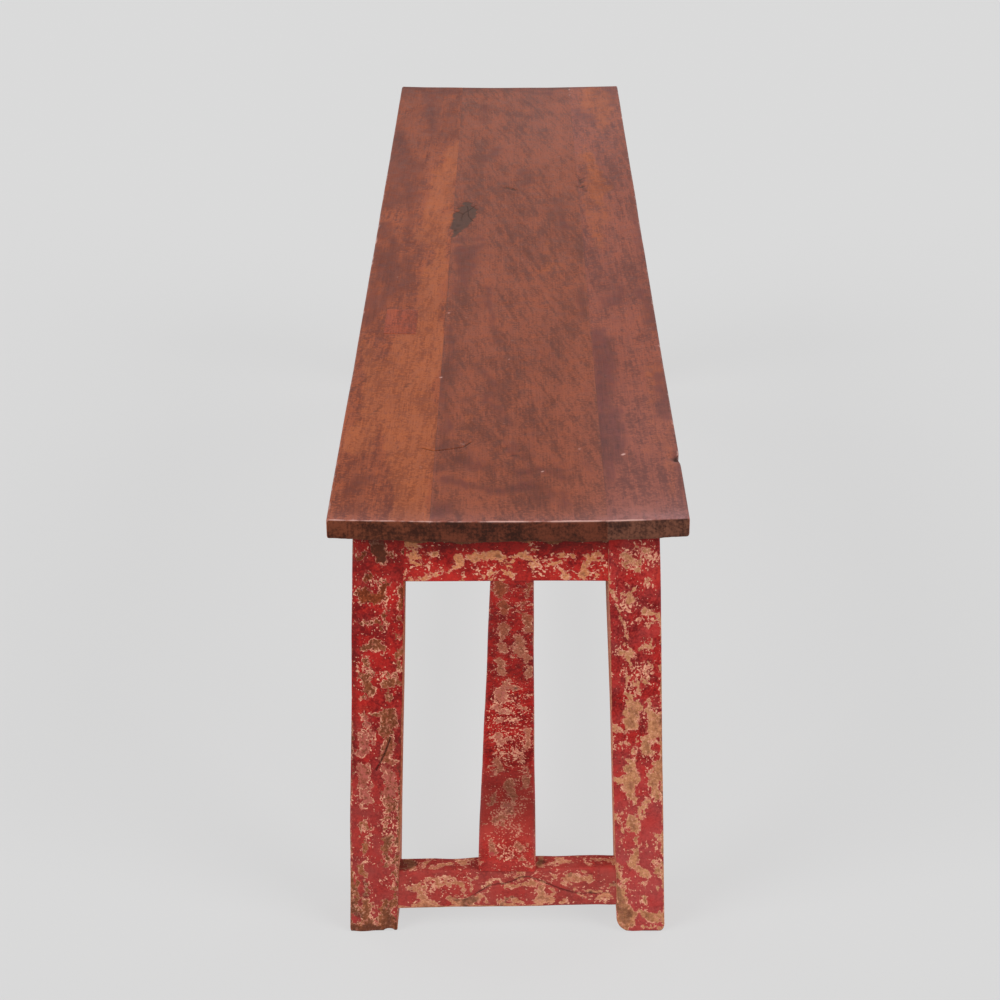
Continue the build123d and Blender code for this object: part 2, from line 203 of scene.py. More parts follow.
class Timber:
    """One wooden piece while it is shaped: a block with rounded arrises and an even mesh."""

    def __init__(self, node, low, high, arris, spacing, seams=(), cracks=()):
        self.node = node
        self.middle = (low + high) / 2
        self.half = (high - low) / 2
        block = bmesh.new()
        bmesh.ops.create_cube(block, size=1.0)
        bmesh.ops.scale(block, vec=high - low, verts=block.verts)
        bmesh.ops.translate(block, vec=self.middle, verts=block.verts)
        self.round_edges(block, arris, seams)
        for axis in (X, Y, Z):
            length = high[axis] - low[axis]
            along = [
                edge for edge in block.edges
                if abs(edge.verts[0].co[axis] - edge.verts[1].co[axis]) > length / 2
            ]
            cuts = max(1, round(length / spacing)) - 1
            if cuts:
                bmesh.ops.subdivide_edges(block, edges=along, cuts=cuts, use_grid_fill=True)
        for crack in cracks:
            self.refine(block, *crack)
        self.mesh = bpy.data.meshes.new("worn_" + node)
        block.to_mesh(self.mesh)
        block.free()
        self.rest = self.read("co")
        self.place = self.rest.copy()
        self.facing = self.read("normal")

    @staticmethod
    def round_edges(block, arris, seams):
        """Rounds the open edges, and barely breaks the ones that meet another board."""

        def on_seam(edge):
            return any(
                all(abs(corner.co.x - seam) < TINY for corner in edge.verts) for seam in seams
            )

        for wanted, offset, segments in ((False, arris, 3), (True, SEAM_ARRIS, 1)):
            edges = [edge for edge in block.edges if on_seam(edge) == wanted]
            if edges:
                bmesh.ops.bevel(
                    block, geom=edges, offset=offset, segments=segments, profile=0.5,
                    affect="EDGES", material=-1,
                )

    @staticmethod
    def refine(block, line, reach, axis, side):
        """Halves the mesh twice around a line on the side that faces along an axis."""
        outermost = max(side * corner.co[axis] for corner in block.verts)
        for width in (reach, reach * 0.6):
            edges = [
                edge for edge in block.edges
                if min(side * corner.co[axis] for corner in edge.verts) > outermost - SLICE
            ]
            middles = np.array([
                [(edge.verts[0].co[other] + edge.verts[1].co[other]) / 2 for other in others(axis)]
                for edge in edges
            ])
            close = from_line(middles, line) < width
            chosen = [edge for edge, wanted in zip(edges, close) if wanted]
            bmesh.ops.subdivide_edges(block, edges=chosen, cuts=1, use_grid_fill=True)

    def read(self, kind):
        """The places or the normals of the mesh's corners."""
        values = np.empty(len(self.mesh.vertices) * 3, np.float32)
        self.mesh.vertices.foreach_get(kind, values)
        return values.reshape(-1, 3).astype(float)

    def on_side(self, axis, side):
        """How much each point belongs to one side of the piece, from 0 to 1."""
        return rise(side * self.facing[:, axis], 0.55, 0.9)

    def from_arris(self, along):
        """How far each point is from the nearest arris that runs along the given axis."""
        inwards = self.half - np.abs(self.rest - self.middle)
        return inwards[:, others(along)].max(axis=1)

    def wear_arrises(self, along, radius, uneven, reach, seed):
        """Rounds the four arrises along an axis further, by a radius that varies on the way."""
        first, second = others(along)
        offset = self.place - self.middle
        side = np.sign(offset)
        # Each arris draws its unevenness from a place of its own
        corner = [side[:, first] * 300, self.rest[:, along], side[:, second] * 500]
        corner = np.stack(corner, axis=1)
        round_by = radius + uneven * np.clip(wobble(corner, reach, seed), -0.4, 2)
        over = [np.abs(offset[:, axis]) - (self.half[axis] - round_by) for axis in (first, second)]
        far = np.hypot(*over)
        sharp = (over[0] > 0) & (over[1] > 0) & (far > round_by)
        keep = np.where(sharp, round_by / np.maximum(far, TINY), 1)
        for axis, amount in zip((first, second), over):
            moved = self.half[axis] - round_by + amount * keep
            self.place[sharp, axis] = (self.middle[axis] + side[:, axis] * moved)[sharp]

    def undulate(self, depth, reach, along, seed):
        """Leaves the gentle hollows of a hand plane, longer along the grain."""
        hollows = depth * wobble(self.rest * squeezed(along, 0.35), reach, seed)
        self.place += self.facing * hollows[:, None]

    def wear_foot(self, chips, corners):
        """Rounds the lower end and its corners, and bites chips out of its outline."""
        lowest = self.middle[Z] - self.half[Z]
        for side, radius in zip((LEFT, RIGHT), corners):
            beyond = side * (self.place[:, X] - self.middle[X]) - (self.half[X] - radius)
            under = radius - (self.place[:, Z] - lowest)
            far = np.hypot(beyond, under)
            sharp = (beyond > 0) & (under > 0) & (far > radius)
            keep = radius / np.maximum(far, TINY)
            self.place[sharp, X] -= (side * beyond * (1 - keep))[sharp]
            self.place[sharp, Z] += (under * (1 - keep))[sharp]
        for across, up, radius in chips:
            aside, above = (self.place[:, [X, Z]] - (self.middle[X] + across, lowest + up)).T
            lifted = np.sqrt(np.maximum(radius**2 - aside**2, 0)) - above
            self.place[:, Z] += np.where(np.hypot(aside, above) < radius, lifted, 0)
        bottom = rise(-self.facing[:, Z], 0.1, 0.6)
        uneven = 0.9 + 0.6 * wobble(self.rest, 17, FOOT_SEED)
        self.place[:, Z] += bottom * np.maximum(uneven, 0)
        self.place[:, Z] = np.maximum(self.place[:, Z], lowest)

    def groove(self, points, line, width, depth, axis, side):
        """Opens a crack along a line on one side, and gives each point's share of it."""
        inside = fall(from_line(points, line), 0, width) * self.on_side(axis, side)
        self.place[:, axis] -= side * depth * inside
        return inside

    def lean(self, side):
        """Splays the piece: it moves outwards by the legs' slope, more the lower it is."""
        self.place[:, X] += side * SLOPE * (leg_top - self.place[:, Z])

    def paint(self, **layers):
        """Keeps values for the material with the mesh, one for each corner or one for all."""
        for name, amount in layers.items():
            amount = np.broadcast_to(amount, len(self.rest)).astype(np.float32)
            self.mesh.attributes.new(name, "FLOAT", "POINT").data.foreach_set("value", amount)

    def finish(self, material, slot):
        """Puts the piece in the scene in place of its node."""
        self.mesh.vertices.foreach_set("co", (self.place * MM).astype(np.float32).ravel())
        self.mesh.update()
        put_in_place(self.mesh, self.node, material)


# Shader nodes


def put(tree, kind, inputs=None, **settings):
    """Adds a node, sets what it is told and links or sets its inputs by name or number."""
    node = tree.nodes.new(kind)
    for name, value in settings.items():
        setattr(node, name, value)
    for name, value in (inputs or {}).items():
        if isinstance(value, Value):
            tree.links.new(value.socket, node.inputs[name])
        else:
            node.inputs[name].default_value = value
    return node


def made(tree, kind, inputs=None, output=0, **settings):
    """What a new node gives."""
    return Value(put(tree, kind, inputs, **settings).outputs[output])


def outputs(node):
    """Everything that a node gives, by name."""
    return {socket.name: Value(socket) for socket in node.outputs}


class Value:
    """What a shader node gives. Sums and products of values add the nodes that work them out."""

    def __init__(self, socket):
        self.socket = socket
        self.tree = socket.id_data

    def maths(self, operation, *terms, clamp=False):
        """This value and others through one operation."""
        inputs = dict(enumerate((self, *terms)))
        return made(self.tree, "ShaderNodeMath", inputs, operation=operation, use_clamp=clamp)

    def __add__(self, other):
        return self.maths("ADD", other)

    def __sub__(self, other):
        return self.maths("SUBTRACT", other)

    def __mul__(self, other):
        return self.maths("MULTIPLY", other)

    __radd__ = __add__
    __rmul__ = __mul__

    def step(self, low, high):
        """A smooth step from 0 at low to 1 at high."""
        return made(
            self.tree, "ShaderNodeMapRange", {"Value": self, "From Min": low, "From Max": high},
            "Result", interpolation_type="SMOOTHSTEP", clamp=True,
        )

    def between(self, first, second, way="MIX"):
        """The colour that is this share of the way from one colour to another."""
        return made(
            self.tree, "ShaderNodeMix", {0: self, 6: first, 7: second}, 2,
            data_type="RGBA", blend_type=way, clamp_factor=True,
        )

    def under(self, colour, share, way="MIX"):
        """This colour with another laid over it, as strongly as share says."""
        return share.between(self, colour, way)

    def noise(self, size, detail=2.0, rough=0.5):
        """Noise about zero, from -0.5 to 0.5, with humps of the given size in millimetres."""
        inputs = {"Vector": self, "Scale": 1 / (size * MM), "Detail": detail, "Roughness": rough}
        return made(self.tree, "ShaderNodeTexNoise", inputs, "Fac") - 0.5

    def vector_maths(self, operation, *inputs):
        """Vectors through one operation."""
        return made(
            self.tree, "ShaderNodeVectorMath", dict(enumerate(inputs)), operation=operation
        )

    def stretched(self, *scale):
        """The vector scaled, so that a pattern on it is drawn out where the scale is below 1."""
        return self.vector_maths("MULTIPLY", self, scale)

    def warped(self, size, distance):
        """The vector pushed about by noise, so that patterns on it get ragged outlines."""
        inputs = {"Vector": self, "Scale": 1 / (size * MM), "Detail": 2.0}
        push = made(self.tree, "ShaderNodeTexNoise", inputs, "Color")
        push = self.vector_maths("SUBTRACT", push, (0.5, 0.5, 0.5))
        return self.vector_maths("MULTIPLY_ADD", push, (distance * MM,) * 3, self)

    def mapped(self, **moves):
        """The vector moved and turned."""
        return made(self.tree, "ShaderNodeMapping", {"Vector": self, **moves})

    def through(self, shared, **inputs):
        """What a shared group gives at this place."""
        inputs["Vector"] = self
        return outputs(put(self.tree, "ShaderNodeGroup", inputs, node_tree=shared))

    def mark(self, name):
        """A value kept with the mesh."""
        return made(self.tree, "ShaderNodeAttribute", None, "Fac", attribute_name=name)


def cleared(owner):
    """The empty node tree of a material or world."""
    owner.use_nodes = True
    owner.node_tree.nodes.clear()
    return owner.node_tree


def group(name, inputs):
    """A new node group with named inputs, where a number is an input's default."""
    tree = bpy.data.node_groups.new(name, "ShaderNodeTree")
    tree.interface.new_socket("Vector", in_out="INPUT", socket_type="NodeSocketVector")
    for label, value in inputs.items():
        socket = tree.interface.new_socket(label, in_out="INPUT", socket_type="NodeSocketFloat")
        socket.default_value = value
    return tree, outputs(tree.nodes.new("NodeGroupInput"))


def close(tree, results):
    """Gives a group its named outputs."""
    for label in results:
        tree.interface.new_socket(label, in_out="OUTPUT", socket_type="NodeSocketFloat")
    put(tree, "NodeGroupOutput", results)
    return tree


def wood_grain():
    """Grain that runs along Z: broad figure, fine fibres, dark pores and slow clouds."""
    tree, given = group("wood_grain", {})
    place = given["Vector"]
    warped = place.warped(60, 5)
    return close(tree, {
        "Figure": warped.stretched(1, 1, 0.05).noise(11, 4, 0.6),
        "Fibre": place.stretched(1, 1, 0.03).noise(1.7, 3, 0.6),
        "Pores": place.stretched(1, 1, 0.09).noise(1.3, 1).step(0.13, 0.2),
        "Clouds": warped.stretched(1, 1, 0.45).noise(62, 4, 0.6),
    })


def chipped_paint():
    """Paint over primer that comes off where Worn, a depth in millimetres, is above zero."""
    tree, given = group("chipped_paint", {"Worn": -5.0, "Rim": 1.0, "Flecks": 0.0})
    place = given["Vector"]
    worn = given["Worn"]
    warped = place.warped(9, 5)
    field = 1.15 * worn + 10 * warped.noise(13) + 16 * warped.noise(5, 4, 0.7)
    field += 9 * place.noise(2.2, 2, 0.6)
    flecks = given["Flecks"] - 4.4 + 0.3 * worn.maths("MAXIMUM", -8.0)
    flecks += 30 * warped.noise(2.5, 1.5) + 12 * place.noise(19)
    broken = 1 + 8 * place.noise(9)
    inner = field - given["Rim"] * broken.maths("MAXIMUM", 0.0)
    gone = field.step(-0.3, 0.4).maths("MAXIMUM", flecks.step(-0.4, 0.5))
    bare = inner.step(-0.3, 0.6)
    return close(tree, {
        "Gone": gone, "Bare": bare, "Heart": inner.step(0.8, 4.5),
        "Halo": field.step(-4.0, 0.2), "Height": -0.55 * gone - 0.45 * bare + 1,
    })


def dirt():
    """Dirt, and painted shade where asked, that gathers unevenly where Amount is above zero."""
    tree, given = group("dirt", {"Amount": 0.0})
    uneven = 1.6 * given["Vector"].noise(9, 4, 0.65) + given["Amount"]
    return close(tree, {"Mask": uneven.step(0.15, 1.0)})


GRAIN = wood_grain()
PAINT = chipped_paint()
DIRT = dirt()

# How a piece is turned so that its grain runs along Z
TURNS = {X: (0.0, radians(90), 0.0), Y: (radians(90), 0.0, 0.0), Z: (0.0, 0.0, 0.0)}


def new_material(name, along, shift=(0.0, 0.0, 0.0)):
    """A material, and the place on the piece: as it is, shifted, and also turned to the grain."""
    material = bpy.data.materials.new(name)
    place = made(cleared(material), "ShaderNodeTexCoord", None, "Object")
    return (
        material, place, place.mapped(Location=shift),
        place.mapped(Rotation=TURNS[along], Location=shift),
    )


def dressed(material, colour, rough, height, depth, specular, metallic=0.0):
    """Gives a material its shader, with a bump of the given depth in millimetres."""
    tree = material.node_tree
    bump = made(
        tree, "ShaderNodeBump", {"Height": height, "Strength": 1.0, "Distance": depth * MM}
    )
    shader = made(tree, "ShaderNodeBsdfPrincipled", {
        "Base Color": colour, "Roughness": rough, "Normal": bump,
        "Specular IOR Level": specular, "Metallic": metallic,
    })
    put(tree, "ShaderNodeOutputMaterial", {"Surface": shader})
    return material


# Paint, the primer under it, bare wood, dirt and painted shade

RED_DARK = linear(106, 14, 15)
RED_LIGHT = linear(172, 33, 28)
RED_WARM = linear(190, 62, 40)
RED_SCUFFED = linear(180, 88, 74)
RED_FADED = linear(166, 66, 62)
PRIMER_PINK = linear(190, 104, 88)
PRIMER_CREAM = linear(222, 164, 134)
PRIMER_ROSE = linear(180, 98, 90)
HEART_BROWN = linear(112, 64, 44)
TAN_DARK = linear(160, 90, 58)
TAN_LIGHT = linear(200, 130, 96)
# Dark colours for dirt and cracks; both also lay painted shade under the top
GRIME = linear(82, 44, 32)
CRACK_DARK = linear(46, 26, 20)

# What old bare wood is multiplied by where it has gone darker and redder
RUSSET = (0.72, 0.42, 0.3, 1.0)

# Chips are drawn out along the grain where this is below 1
CHIP_SQUEEZE = 0.75


def painted_wood(name, along, wood, shift=(0.0, 0.0, 0.0), rim=1.0, faded_red=RED_FADED):
    """Red paint over a pink-cream primer over bare wood of two given colours."""
    material, place, shifted, grained = new_material(name, along, shift)
    chipped = shifted.stretched(*squeezed(along, CHIP_SQUEEZE))
    grain = grained.through(GRAIN)
    chips = chipped.through(PAINT, Worn=place.mark("worn"), Rim=rim, Flecks=place.mark("flecks"))
    mottle = shifted.noise(2.4, 2, 0.6)
    scuffs = chipped.noise(3.6, 3, 0.7)

    tone = 0.48 + 1.8 * shifted.noise(38, 3, 0.6) + 1.3 * shifted.noise(8) + 1.3 * mottle
    tone = (tone + 0.6 * scuffs).step(0, 1)
    faded = place.mark("faded") + 1.6 * shifted.noise(26, 3) + 1.2 * mottle
    warm = 2.2 * shifted.noise(22) + 1.6 * mottle - 0.32
    washed = 0.5 * chips["Halo"] + 2 * scuffs - 0.26
    paint = tone.between(RED_DARK, RED_LIGHT).under(faded_red, 0.6 * faded)
    paint = paint.under(RED_WARM, 0.8 * warm).under(RED_SCUFFED, washed)

    pale = 0.55 + 2.4 * shifted.noise(4) + 1.8 * mottle
    primer = pale.step(0, 1).between(PRIMER_PINK, PRIMER_CREAM)

    shade = 0.5 + 1.2 * grain["Clouds"] + 0.7 * grain["Figure"] + 0.5 * grain["Fibre"]
    shade = (shade + 1.8 * scuffs + 1.6 * mottle).step(0, 1)
    heart = 5 * chipped.noise(9, 3, 0.6) + 1.5 * scuffs + 0.4
    heart = heart.maths("MULTIPLY", chips["Heart"], clamp=True)
    residue = chipped.noise(2.6, 2, 0.65).step(0.04, 0.17)
    pink = place.mark("primed") + 3.6 * scuffs + 1.4 * mottle - 0.3
    timber = shade.between(*wood).under(shade.between(TAN_DARK, TAN_LIGHT), place.mark("tanned"))
    timber = timber.under(HEART_BROWN, 0.75 * heart).under(primer, 0.6 * residue)
    timber = timber.under(PRIMER_ROSE, pink).under(RUSSET, place.mark("russet"), "MULTIPLY")

    # Dirt and cracks darken the colour, and so does painted shade under the top
    grime = shifted.through(DIRT, Amount=place.mark("grime"))["Mask"]
    crack = place.mark("crack")
    colour = paint.under(primer, chips["Gone"]).under(timber, chips["Bare"])
    colour = colour.under(GRIME, 0.72 * grime).under(CRACK_DARK, (crack + 1.5 * scuffs) * crack)
    rough = 0.48 + 0.25 * chips["Gone"] + 0.1 * grime + 0.3 * mottle
    height = chips["Height"] + 0.25 * grain["Fibre"] + 0.5 * scuffs + 0.25 * mottle
    return dressed(material, colour, rough, height, 0.35, 0.12)


# Stained wood: sapwood, knots, painted highlight and sheen, and the raw underside

SAP_DARK = linear(128, 62, 34)
SAP_LIGHT = linear(168, 90, 53)
KNOT_DARK = linear(78, 60, 53)
# Pale specks and the painted highlight on the top's arrises share this colour
POLISHED = linear(200, 156, 146)
# The pale bluish tint of the painted sheen on the top
HAZE = linear(180, 146, 150)
UNDER_DARK = linear(70, 44, 31)
UNDER_LIGHT = linear(112, 76, 54)

# What the stain is multiplied by in dark clouds and pores
SMOKE = (0.46, 0.43, 0.64, 1.0)


def stained_board(name, dark, light, shift, end_dark, end_light, askew=0.0):
    """A dark red-brown stain with grain, clouds, knots and a darker, rougher end grain."""
    material, place, shifted, grained = new_material(name, Y, shift)
    grain = grained.through(GRAIN)
    flames = shifted.stretched(1, 0.42, 1).warped(70, 34).noise(24, 5, 0.62)
    turned = shifted.mapped(Rotation=(0.0, 0.0, radians(askew)))
    streaks = turned.stretched(1, 0.09, 1).noise(6, 3, 0.6)
    leathery = shifted.noise(3.4, 3, 0.65)
    mottle = shifted.noise(13, 3, 0.6)

    tone = 0.5 + 1.2 * grain["Clouds"] + 1.3 * flames + 0.4 * grain["Figure"]
    tone += 0.9 * grain["Fibre"] + 1.5 * streaks + 2 * leathery + 0.8 * mottle
    tone = tone.step(0, 1)
    pale = place.mark("light") + 0.6 * grain["Figure"] + 0.9 * flames + 0.5 * mottle
    sapwood = tone.between(SAP_DARK, SAP_LIGHT)
    colour = tone.between(dark, light).under(sapwood, pale.step(0.1, 0.95))

    smoky = 0.85 * place.mark("dark") + 2.2 * flames + 2.2 * leathery + 2.4 * streaks
    colour = colour.under(SMOKE, 0.85 * smoky.step(0.1, 1.2), "MULTIPLY")
    colour = colour.under(SMOKE, 0.4 * grain["Pores"], "MULTIPLY")
    knotty = place.mark("knot") + place.noise(5, 3, 0.7)
    colour = colour.under(KNOT_DARK, 0.85 * knotty.step(0.25, 0.8))
    # Painted sheen: a pale bluish tint laid over the stain
    colour = colour.under(HAZE, (1 + 1.2 * leathery + 1.6 * mottle) * place.mark("haze"))
    # Pale specks, and the painted highlight along the top arrises
    rubbed = place.mark("polish") + 1.6 * place.noise(14, 3, 0.6)
    colour = colour.under(POLISHED, rubbed.step(0.3, 0.85))

    end = place.mark("end")
    under = place.mark("under")
    rings = place.warped(30, 10).stretched(0.5, 1, 1).noise(6, 4, 0.7)
    sawn = place.stretched(1, 1, 0.14).noise(1.8, 2, 0.6)
    end_tone = 0.5 + 1.5 * rings + 1.6 * leathery + 0.7 * sawn + 1.8 * place.noise(34)
    colour = colour.under(end_tone.step(0, 1).between(end_dark, end_light), end)
    colour = colour.under(tone.between(UNDER_DARK, UNDER_LIGHT), under)
    colour = colour.under(CRACK_DARK, place.mark("crack"))
    rough = 0.46 + 0.25 * end + 0.35 * under + 0.3 * mottle + 0.2 * place.mark("knot")
    height = 0.6 * grain["Fibre"] - 0.4 * grain["Pores"] + 1.6 * leathery + 1.5 * rings * end
    return dressed(material, colour, rough, height, 0.12, 0.14)


OLD_GRIME = linear(60, 38, 27)


def plain_wood(name, along, dark, light):
    """Unpainted wood gone brown with age."""
    material, place, _, grained = new_material(name, along)
    grain = grained.through(GRAIN)
    shade = 0.5 + 1.2 * grain["Clouds"] + 1.6 * grain["Figure"] + 1.4 * grain["Fibre"]
    grime = place.through(DIRT, Amount=0.25)["Mask"]
    colour = shade.step(0, 1).between(dark, light).under(OLD_GRIME, grime)
    height = grain["Fibre"] - 0.6 * grain["Pores"]
    return dressed(material, colour, 0.75 + 0.1 * grime, height, 0.2, 0.25)


def painted_iron(name):
    """A nail head under the same red paint, a little of it rubbed off."""
    material, place, _, _ = new_material(name, Z)
    rubbed = place.noise(2.5, 3, 0.7).step(0.06, 0.2)
    colour = rubbed.between(RED_FADED, PRIMER_PINK)
    return dressed(material, colour, 0.5 + 0.2 * rubbed, rubbed, 0.05, 0.16)


IRON_DARK = linear(72, 66, 62)
RUST = linear(104, 60, 38)


def rusty_iron(name):
    """Old iron, dark where it is handled and brown with rust elsewhere."""
    material, place, _, _ = new_material(name, Z)
    rust = place.noise(2.5, 4, 0.7).step(-0.2, 0.15)
    colour = rust.between(IRON_DARK, RUST)
    return dressed(material, colour, 0.45 + 0.35 * rust, rust, 0.08, 0.5, -0.8 * rust + 0.9)


# The top, and what marks it: strokes of (x, y, half width) or points (x, y)

top_low, left_high = extent("top_board_left")
right_low, top_high = extent("top_board_right")
LEFT_SEAM = left_high[X]
RIGHT_SEAM = right_low[X]
leg_top = top_low[Z]
half_length = top_high[Y]

# How hollow the top is across, and how far it curls up at its near right corner
CUP = 2.6
CURL = 3.2
# How far the near end's lower edge sags, how far in from the end that reaches, and how much wider
# the near end is on each side
NEAR_SAG = 2.4
SAG_REACH = 20.0
FLARE = 0.9
# How close to a seam a board stays as it is, and how far the patch stands above the board
SEAM_REACH = 6.0
PATCH_PROUD = 0.12

SAPWOOD = {
    "left": [
        [(-84, 508, 2), (-95, 430, 13), (-98, 240, 17), (-100, 60, 18), (-99, -66, 16),
         (-98, -200, 19)],
        [(-98, -200, 19), (-106, -330, 30), (-122, -460, 40), (-116, -580, 36), (-106, -700, 26),
         (-104, -815, 23)], [(-172, -320, 2), (-160, -410, 12), (-158, -540, 12), (-168, -650, 8)],
    ],
    "right": [
        [(110, 480, 2), (124, 400, 10), (134, 260, 12), (130, 180, 4)],
        [(130, 620, -1), (134, 700, 2), (134, 790, 2)],
    ],
}
PALE_BROWN = {
    "left": [[(-120, -200, 4), (-128, -300, 4)]],
    "middle": [
        [(25, 680, 4), (26, 540, 5)], [(60, 40, 8), (50, -80, 10)],
        [(-40, -540, 4), (-36, -600, 4)],
    ],
    "right": [
        [(150, 560, 6), (148, 680, 18), (146, 790, 18)],
        [(108, 460, 2), (116, 400, 11), (116, 336, 11)],
        [(122, 234, 20), (124, 100, 22), (122, 13, 16)], [(172, -200, 6), (170, -330, 6)],
        [(172, -420, 8), (170, -560, 8), (166, -760, 8)],
    ],
}
DARK_CLOUDS = {
    "left": [
        [(-135, 790, 8), (-134, 550, 7)], [(-98, 720, 2), (-96, 650, 1)],
        [(-180, 540, 2), (-175, 440, 14), (-170, 320, 20), (-172, 180, 13)],
        [(-152, 400, 4), (-148, 260, 9), (-140, 140, 5)], [(-178, 100, 8), (-176, 40, 7)],
        [(-180, -130, 7), (-178, -280, 9)], [(-110, 790, 15), (-86, 800, 15)],
        [(-162, 40, 6), (-160, -60, 14), (-154, -150, 13), (-168, -222, 6)],
        [(-137, -15, 3), (-136, -150, 4)], [(-136, 380, 4), (-138, 290, 4)],
        [(-134, 150, 3), (-133, 60, 3)], [(-165, -784, 6)], [(-150, -712, 4), (-172, -752, 6)],
        [(-150, 800, 5), (-110, 770, 6)], [(-184, 814, 7), (-84, 814, 9)],
    ],
    "middle": [
        [(-52, -3, 10), (-52, -60, 15), (-56, -118, 9), (-66, -190, 4)], [(-62, 30, 10)],
        [(-74, -280, 3), (-71, -400, 3), (-74, -560, 1), (-76, -700, 3)],
        [(-66, -140, 5), (-70, -170, 4)],
        [(-66, -725, 3), (-30, -748, 8), (14, -745, 7), (46, -752, 6)], [(-62, 790, 4)],
        [(4, -700, 5), (70, -715, 5)],
        [(-45, -398, 3), (-24, -430, 5), (-12, -455, 6), (-15, -490, 8), (-20, -512, 4),
         (-8, -556, 3), (0, -582, 3)], [(5, -632, 2), (3, -655, 4), (12, -668, 3)],
        [(-46, -675, 10), (-26, -694, 8)], [(50, -700, 7)], [(30, -738, 5), (25, -775, 8)],
        [(60, -750, 5), (62, -782, 6)], [(-66, -790, 9), (-78, -812, 7)],
        [(24, 358, 4), (22, 292, 4)], [(-48, -502, 2)], [(-20, 470, 6), (-34, 400, 6)],
        [(70, 220, 5), (78, 90, 5)], [(-80, 814, 9), (100, 814, 9)], [(0, 800, 9), (60, 785, 6)],
        [(-40, 700, 5), (-36, 600, 5)], [(-20, -150, 4), (-10, -330, 4)],
        [(94, -150, 2), (94, -240, 5)],
    ],
    "right": [
        [(110, -300, 5), (112, -400, 11), (112, -470, 11), (114, -560, 14), (118, -660, 9),
         (112, -740, 4)], [(176, -168, 5), (174, -310, 7)], [(123, 692, 4), (123, 603, 4)],
        [(184, 150, 4), (184, -10, 5)], [(184, -340, 5), (184, -450, 8), (184, -560, 5)],
        [(104, 814, 9), (184, 814, 9)], [(140, -150, 8), (136, -220, 8)],
        [(172, 800, 9), (160, 700, 4)], [(180, -640, 6), (181, -700, 5)],
    ],
}
KNOTS = [
    [(-62, 206, 1), (-61, 165, 15), (-65, 130, 16), (-71, 92, 10), (-79, 52, 2)],
    [(-3, 268, 2), (6, 260, 3)], [(104, 318, 1), (107, 290, 2), (110, 250, 1)], [(183, -677, 3)],
]
KNOT_CHECKS = [
    [(-83, 165), (-66, 150), (-48, 186)], [(-79, 62), (-70, 108), (-66, 150)],
    [(-50, 114), (-58, 140), (-60, 182)], [(-10, 268), (2, 264), (12, 258)], [(2, 272), (3, 256)],
    [(103, 330), (106, 290), (116, 238)], [(116, 318), (106, 290)], [(106, 290), (100, 262)],
]
NEAR_CRACK = [(-94, -644), (-81, -651), (-66, -647), (-49, -641), (-41, -628)]
SCRATCHES = [
    [(-182, -486), (-148, -418)], [(-121, -479), (-105, -441)], [(-158, -559), (-142, -530)],
    [(-10, -608), (-2, -651), (8, -667), (15, -641)],
]
EDGE_NOTCH = (184, -675, 9, 10)
PALE_SPECKS = [
    (-75, -238), (1, -389), (-79, -447), (58, -536), (77, -648), (125, -661), (38, -703),
    (-26, -815), (-148, -113), (102, 800), (102, 784), (102, 768),
]
END_SPECKS = [(75, 527), (80, 527)]

# Cuts in the top: (line, width, depth, darkness)
CUTS = [(line, 1.6, 0.7, 0.55) for line in KNOT_CHECKS]
CUTS += [(NEAR_CRACK, 1.1, 1.4, 1.0)]
CUTS += [(line, 1.3, 0.3, 0.6) for line in SCRATCHES]

# Each board's dark and light stain, the shift of its pattern, the dark and light of its end grain,
# and how many degrees its streaks run askew
BOARDS = {
    "left": (
        linear(104, 46, 28), linear(158, 80, 48), (0.0, 0.0, 0.0),
        linear(52, 22, 11), linear(106, 54, 34), 7.0,
    ),
    "middle": (
        linear(98, 48, 33), linear(148, 77, 52), (0.7, 0.3, 0.2),
        linear(46, 20, 11), linear(98, 48, 31), -13.0,
    ),
    "right": (
        linear(100, 51, 41), linear(150, 80, 60), (1.9, 0.8, 0.5),
        linear(50, 26, 19), linear(108, 66, 50), -5.0,
    ),
}
PATCH = (
    linear(116, 50, 31), linear(162, 76, 50), (0.4, 1.3, 0.9),
    linear(70, 36, 24), linear(104, 60, 42),
)
SEAMS = {"left": [LEFT_SEAM], "middle": [LEFT_SEAM, RIGHT_SEAM], "right": [RIGHT_SEAM]}
# Lines that need a finer mesh, and how far around them
FINE_LINES = {
    "left": [(NEAR_CRACK, 9)],
    "middle": [(NEAR_CRACK, 9), (KNOT_CHECKS[0], 24), (KNOT_CHECKS[2], 10)],
    "right": [],
}


def cup(place):
    """How much lower the top is at each place than at its long edges."""
    share = place[:, X] / top_high[X]
    curl = CURL * np.clip(share - 0.6, 0, 1) * rise(-place[:, Y], 500, half_length)
    return curl - CUP * (1 - share**2)


def shape_board(board):
    """Cups a board, lets its near end sag, and wears its outer edges."""
    board.wear_arrises(Y, WORN_ARRIS, 1.0, 130, TOP_SEED)
    from_seams = [np.abs(board.rest[:, X] - seam) for seam in (LEFT_SEAM, RIGHT_SEAM)]
    at_seam = np.minimum(*from_seams) < SEAM_REACH
    board.place[at_seam] = board.rest[at_seam]
    board.wear_arrises(X, WORN_ARRIS, 1.2, 60, TOP_SEED + 1)
    # Views, so they follow the board
    across, along, up = board.place.T
    upper = rise(up, leg_top, top_high[Z])
    overhang = rise(-along, half_length - SAG_REACH, half_length - SAG_REACH / 2)
    crosswise = board.place * (1, 0, 0)
    sag = -NEAR_SAG * (1 - (across / top_high[X]) ** 2)
    sag += 0.25 * wobble(crosswise, 30, TOP_SEED + 2) + 0.3 * wobble(crosswise, 9, TOP_SEED + 7)
    drop = cup(board.place) * np.maximum(upper, overhang) + sag * overhang * (1 - upper)
    board.undulate(0.12, 70, Y, TOP_SEED + 3)
    board.place[at_seam, X] = board.rest[at_seam, X]
    outer = rise(np.abs(across), 120, top_high[X]) * np.sign(across)
    board.place[:, X] += FLARE * outer * rise(-along, 300, half_length)
    board.place[:, Z] += drop


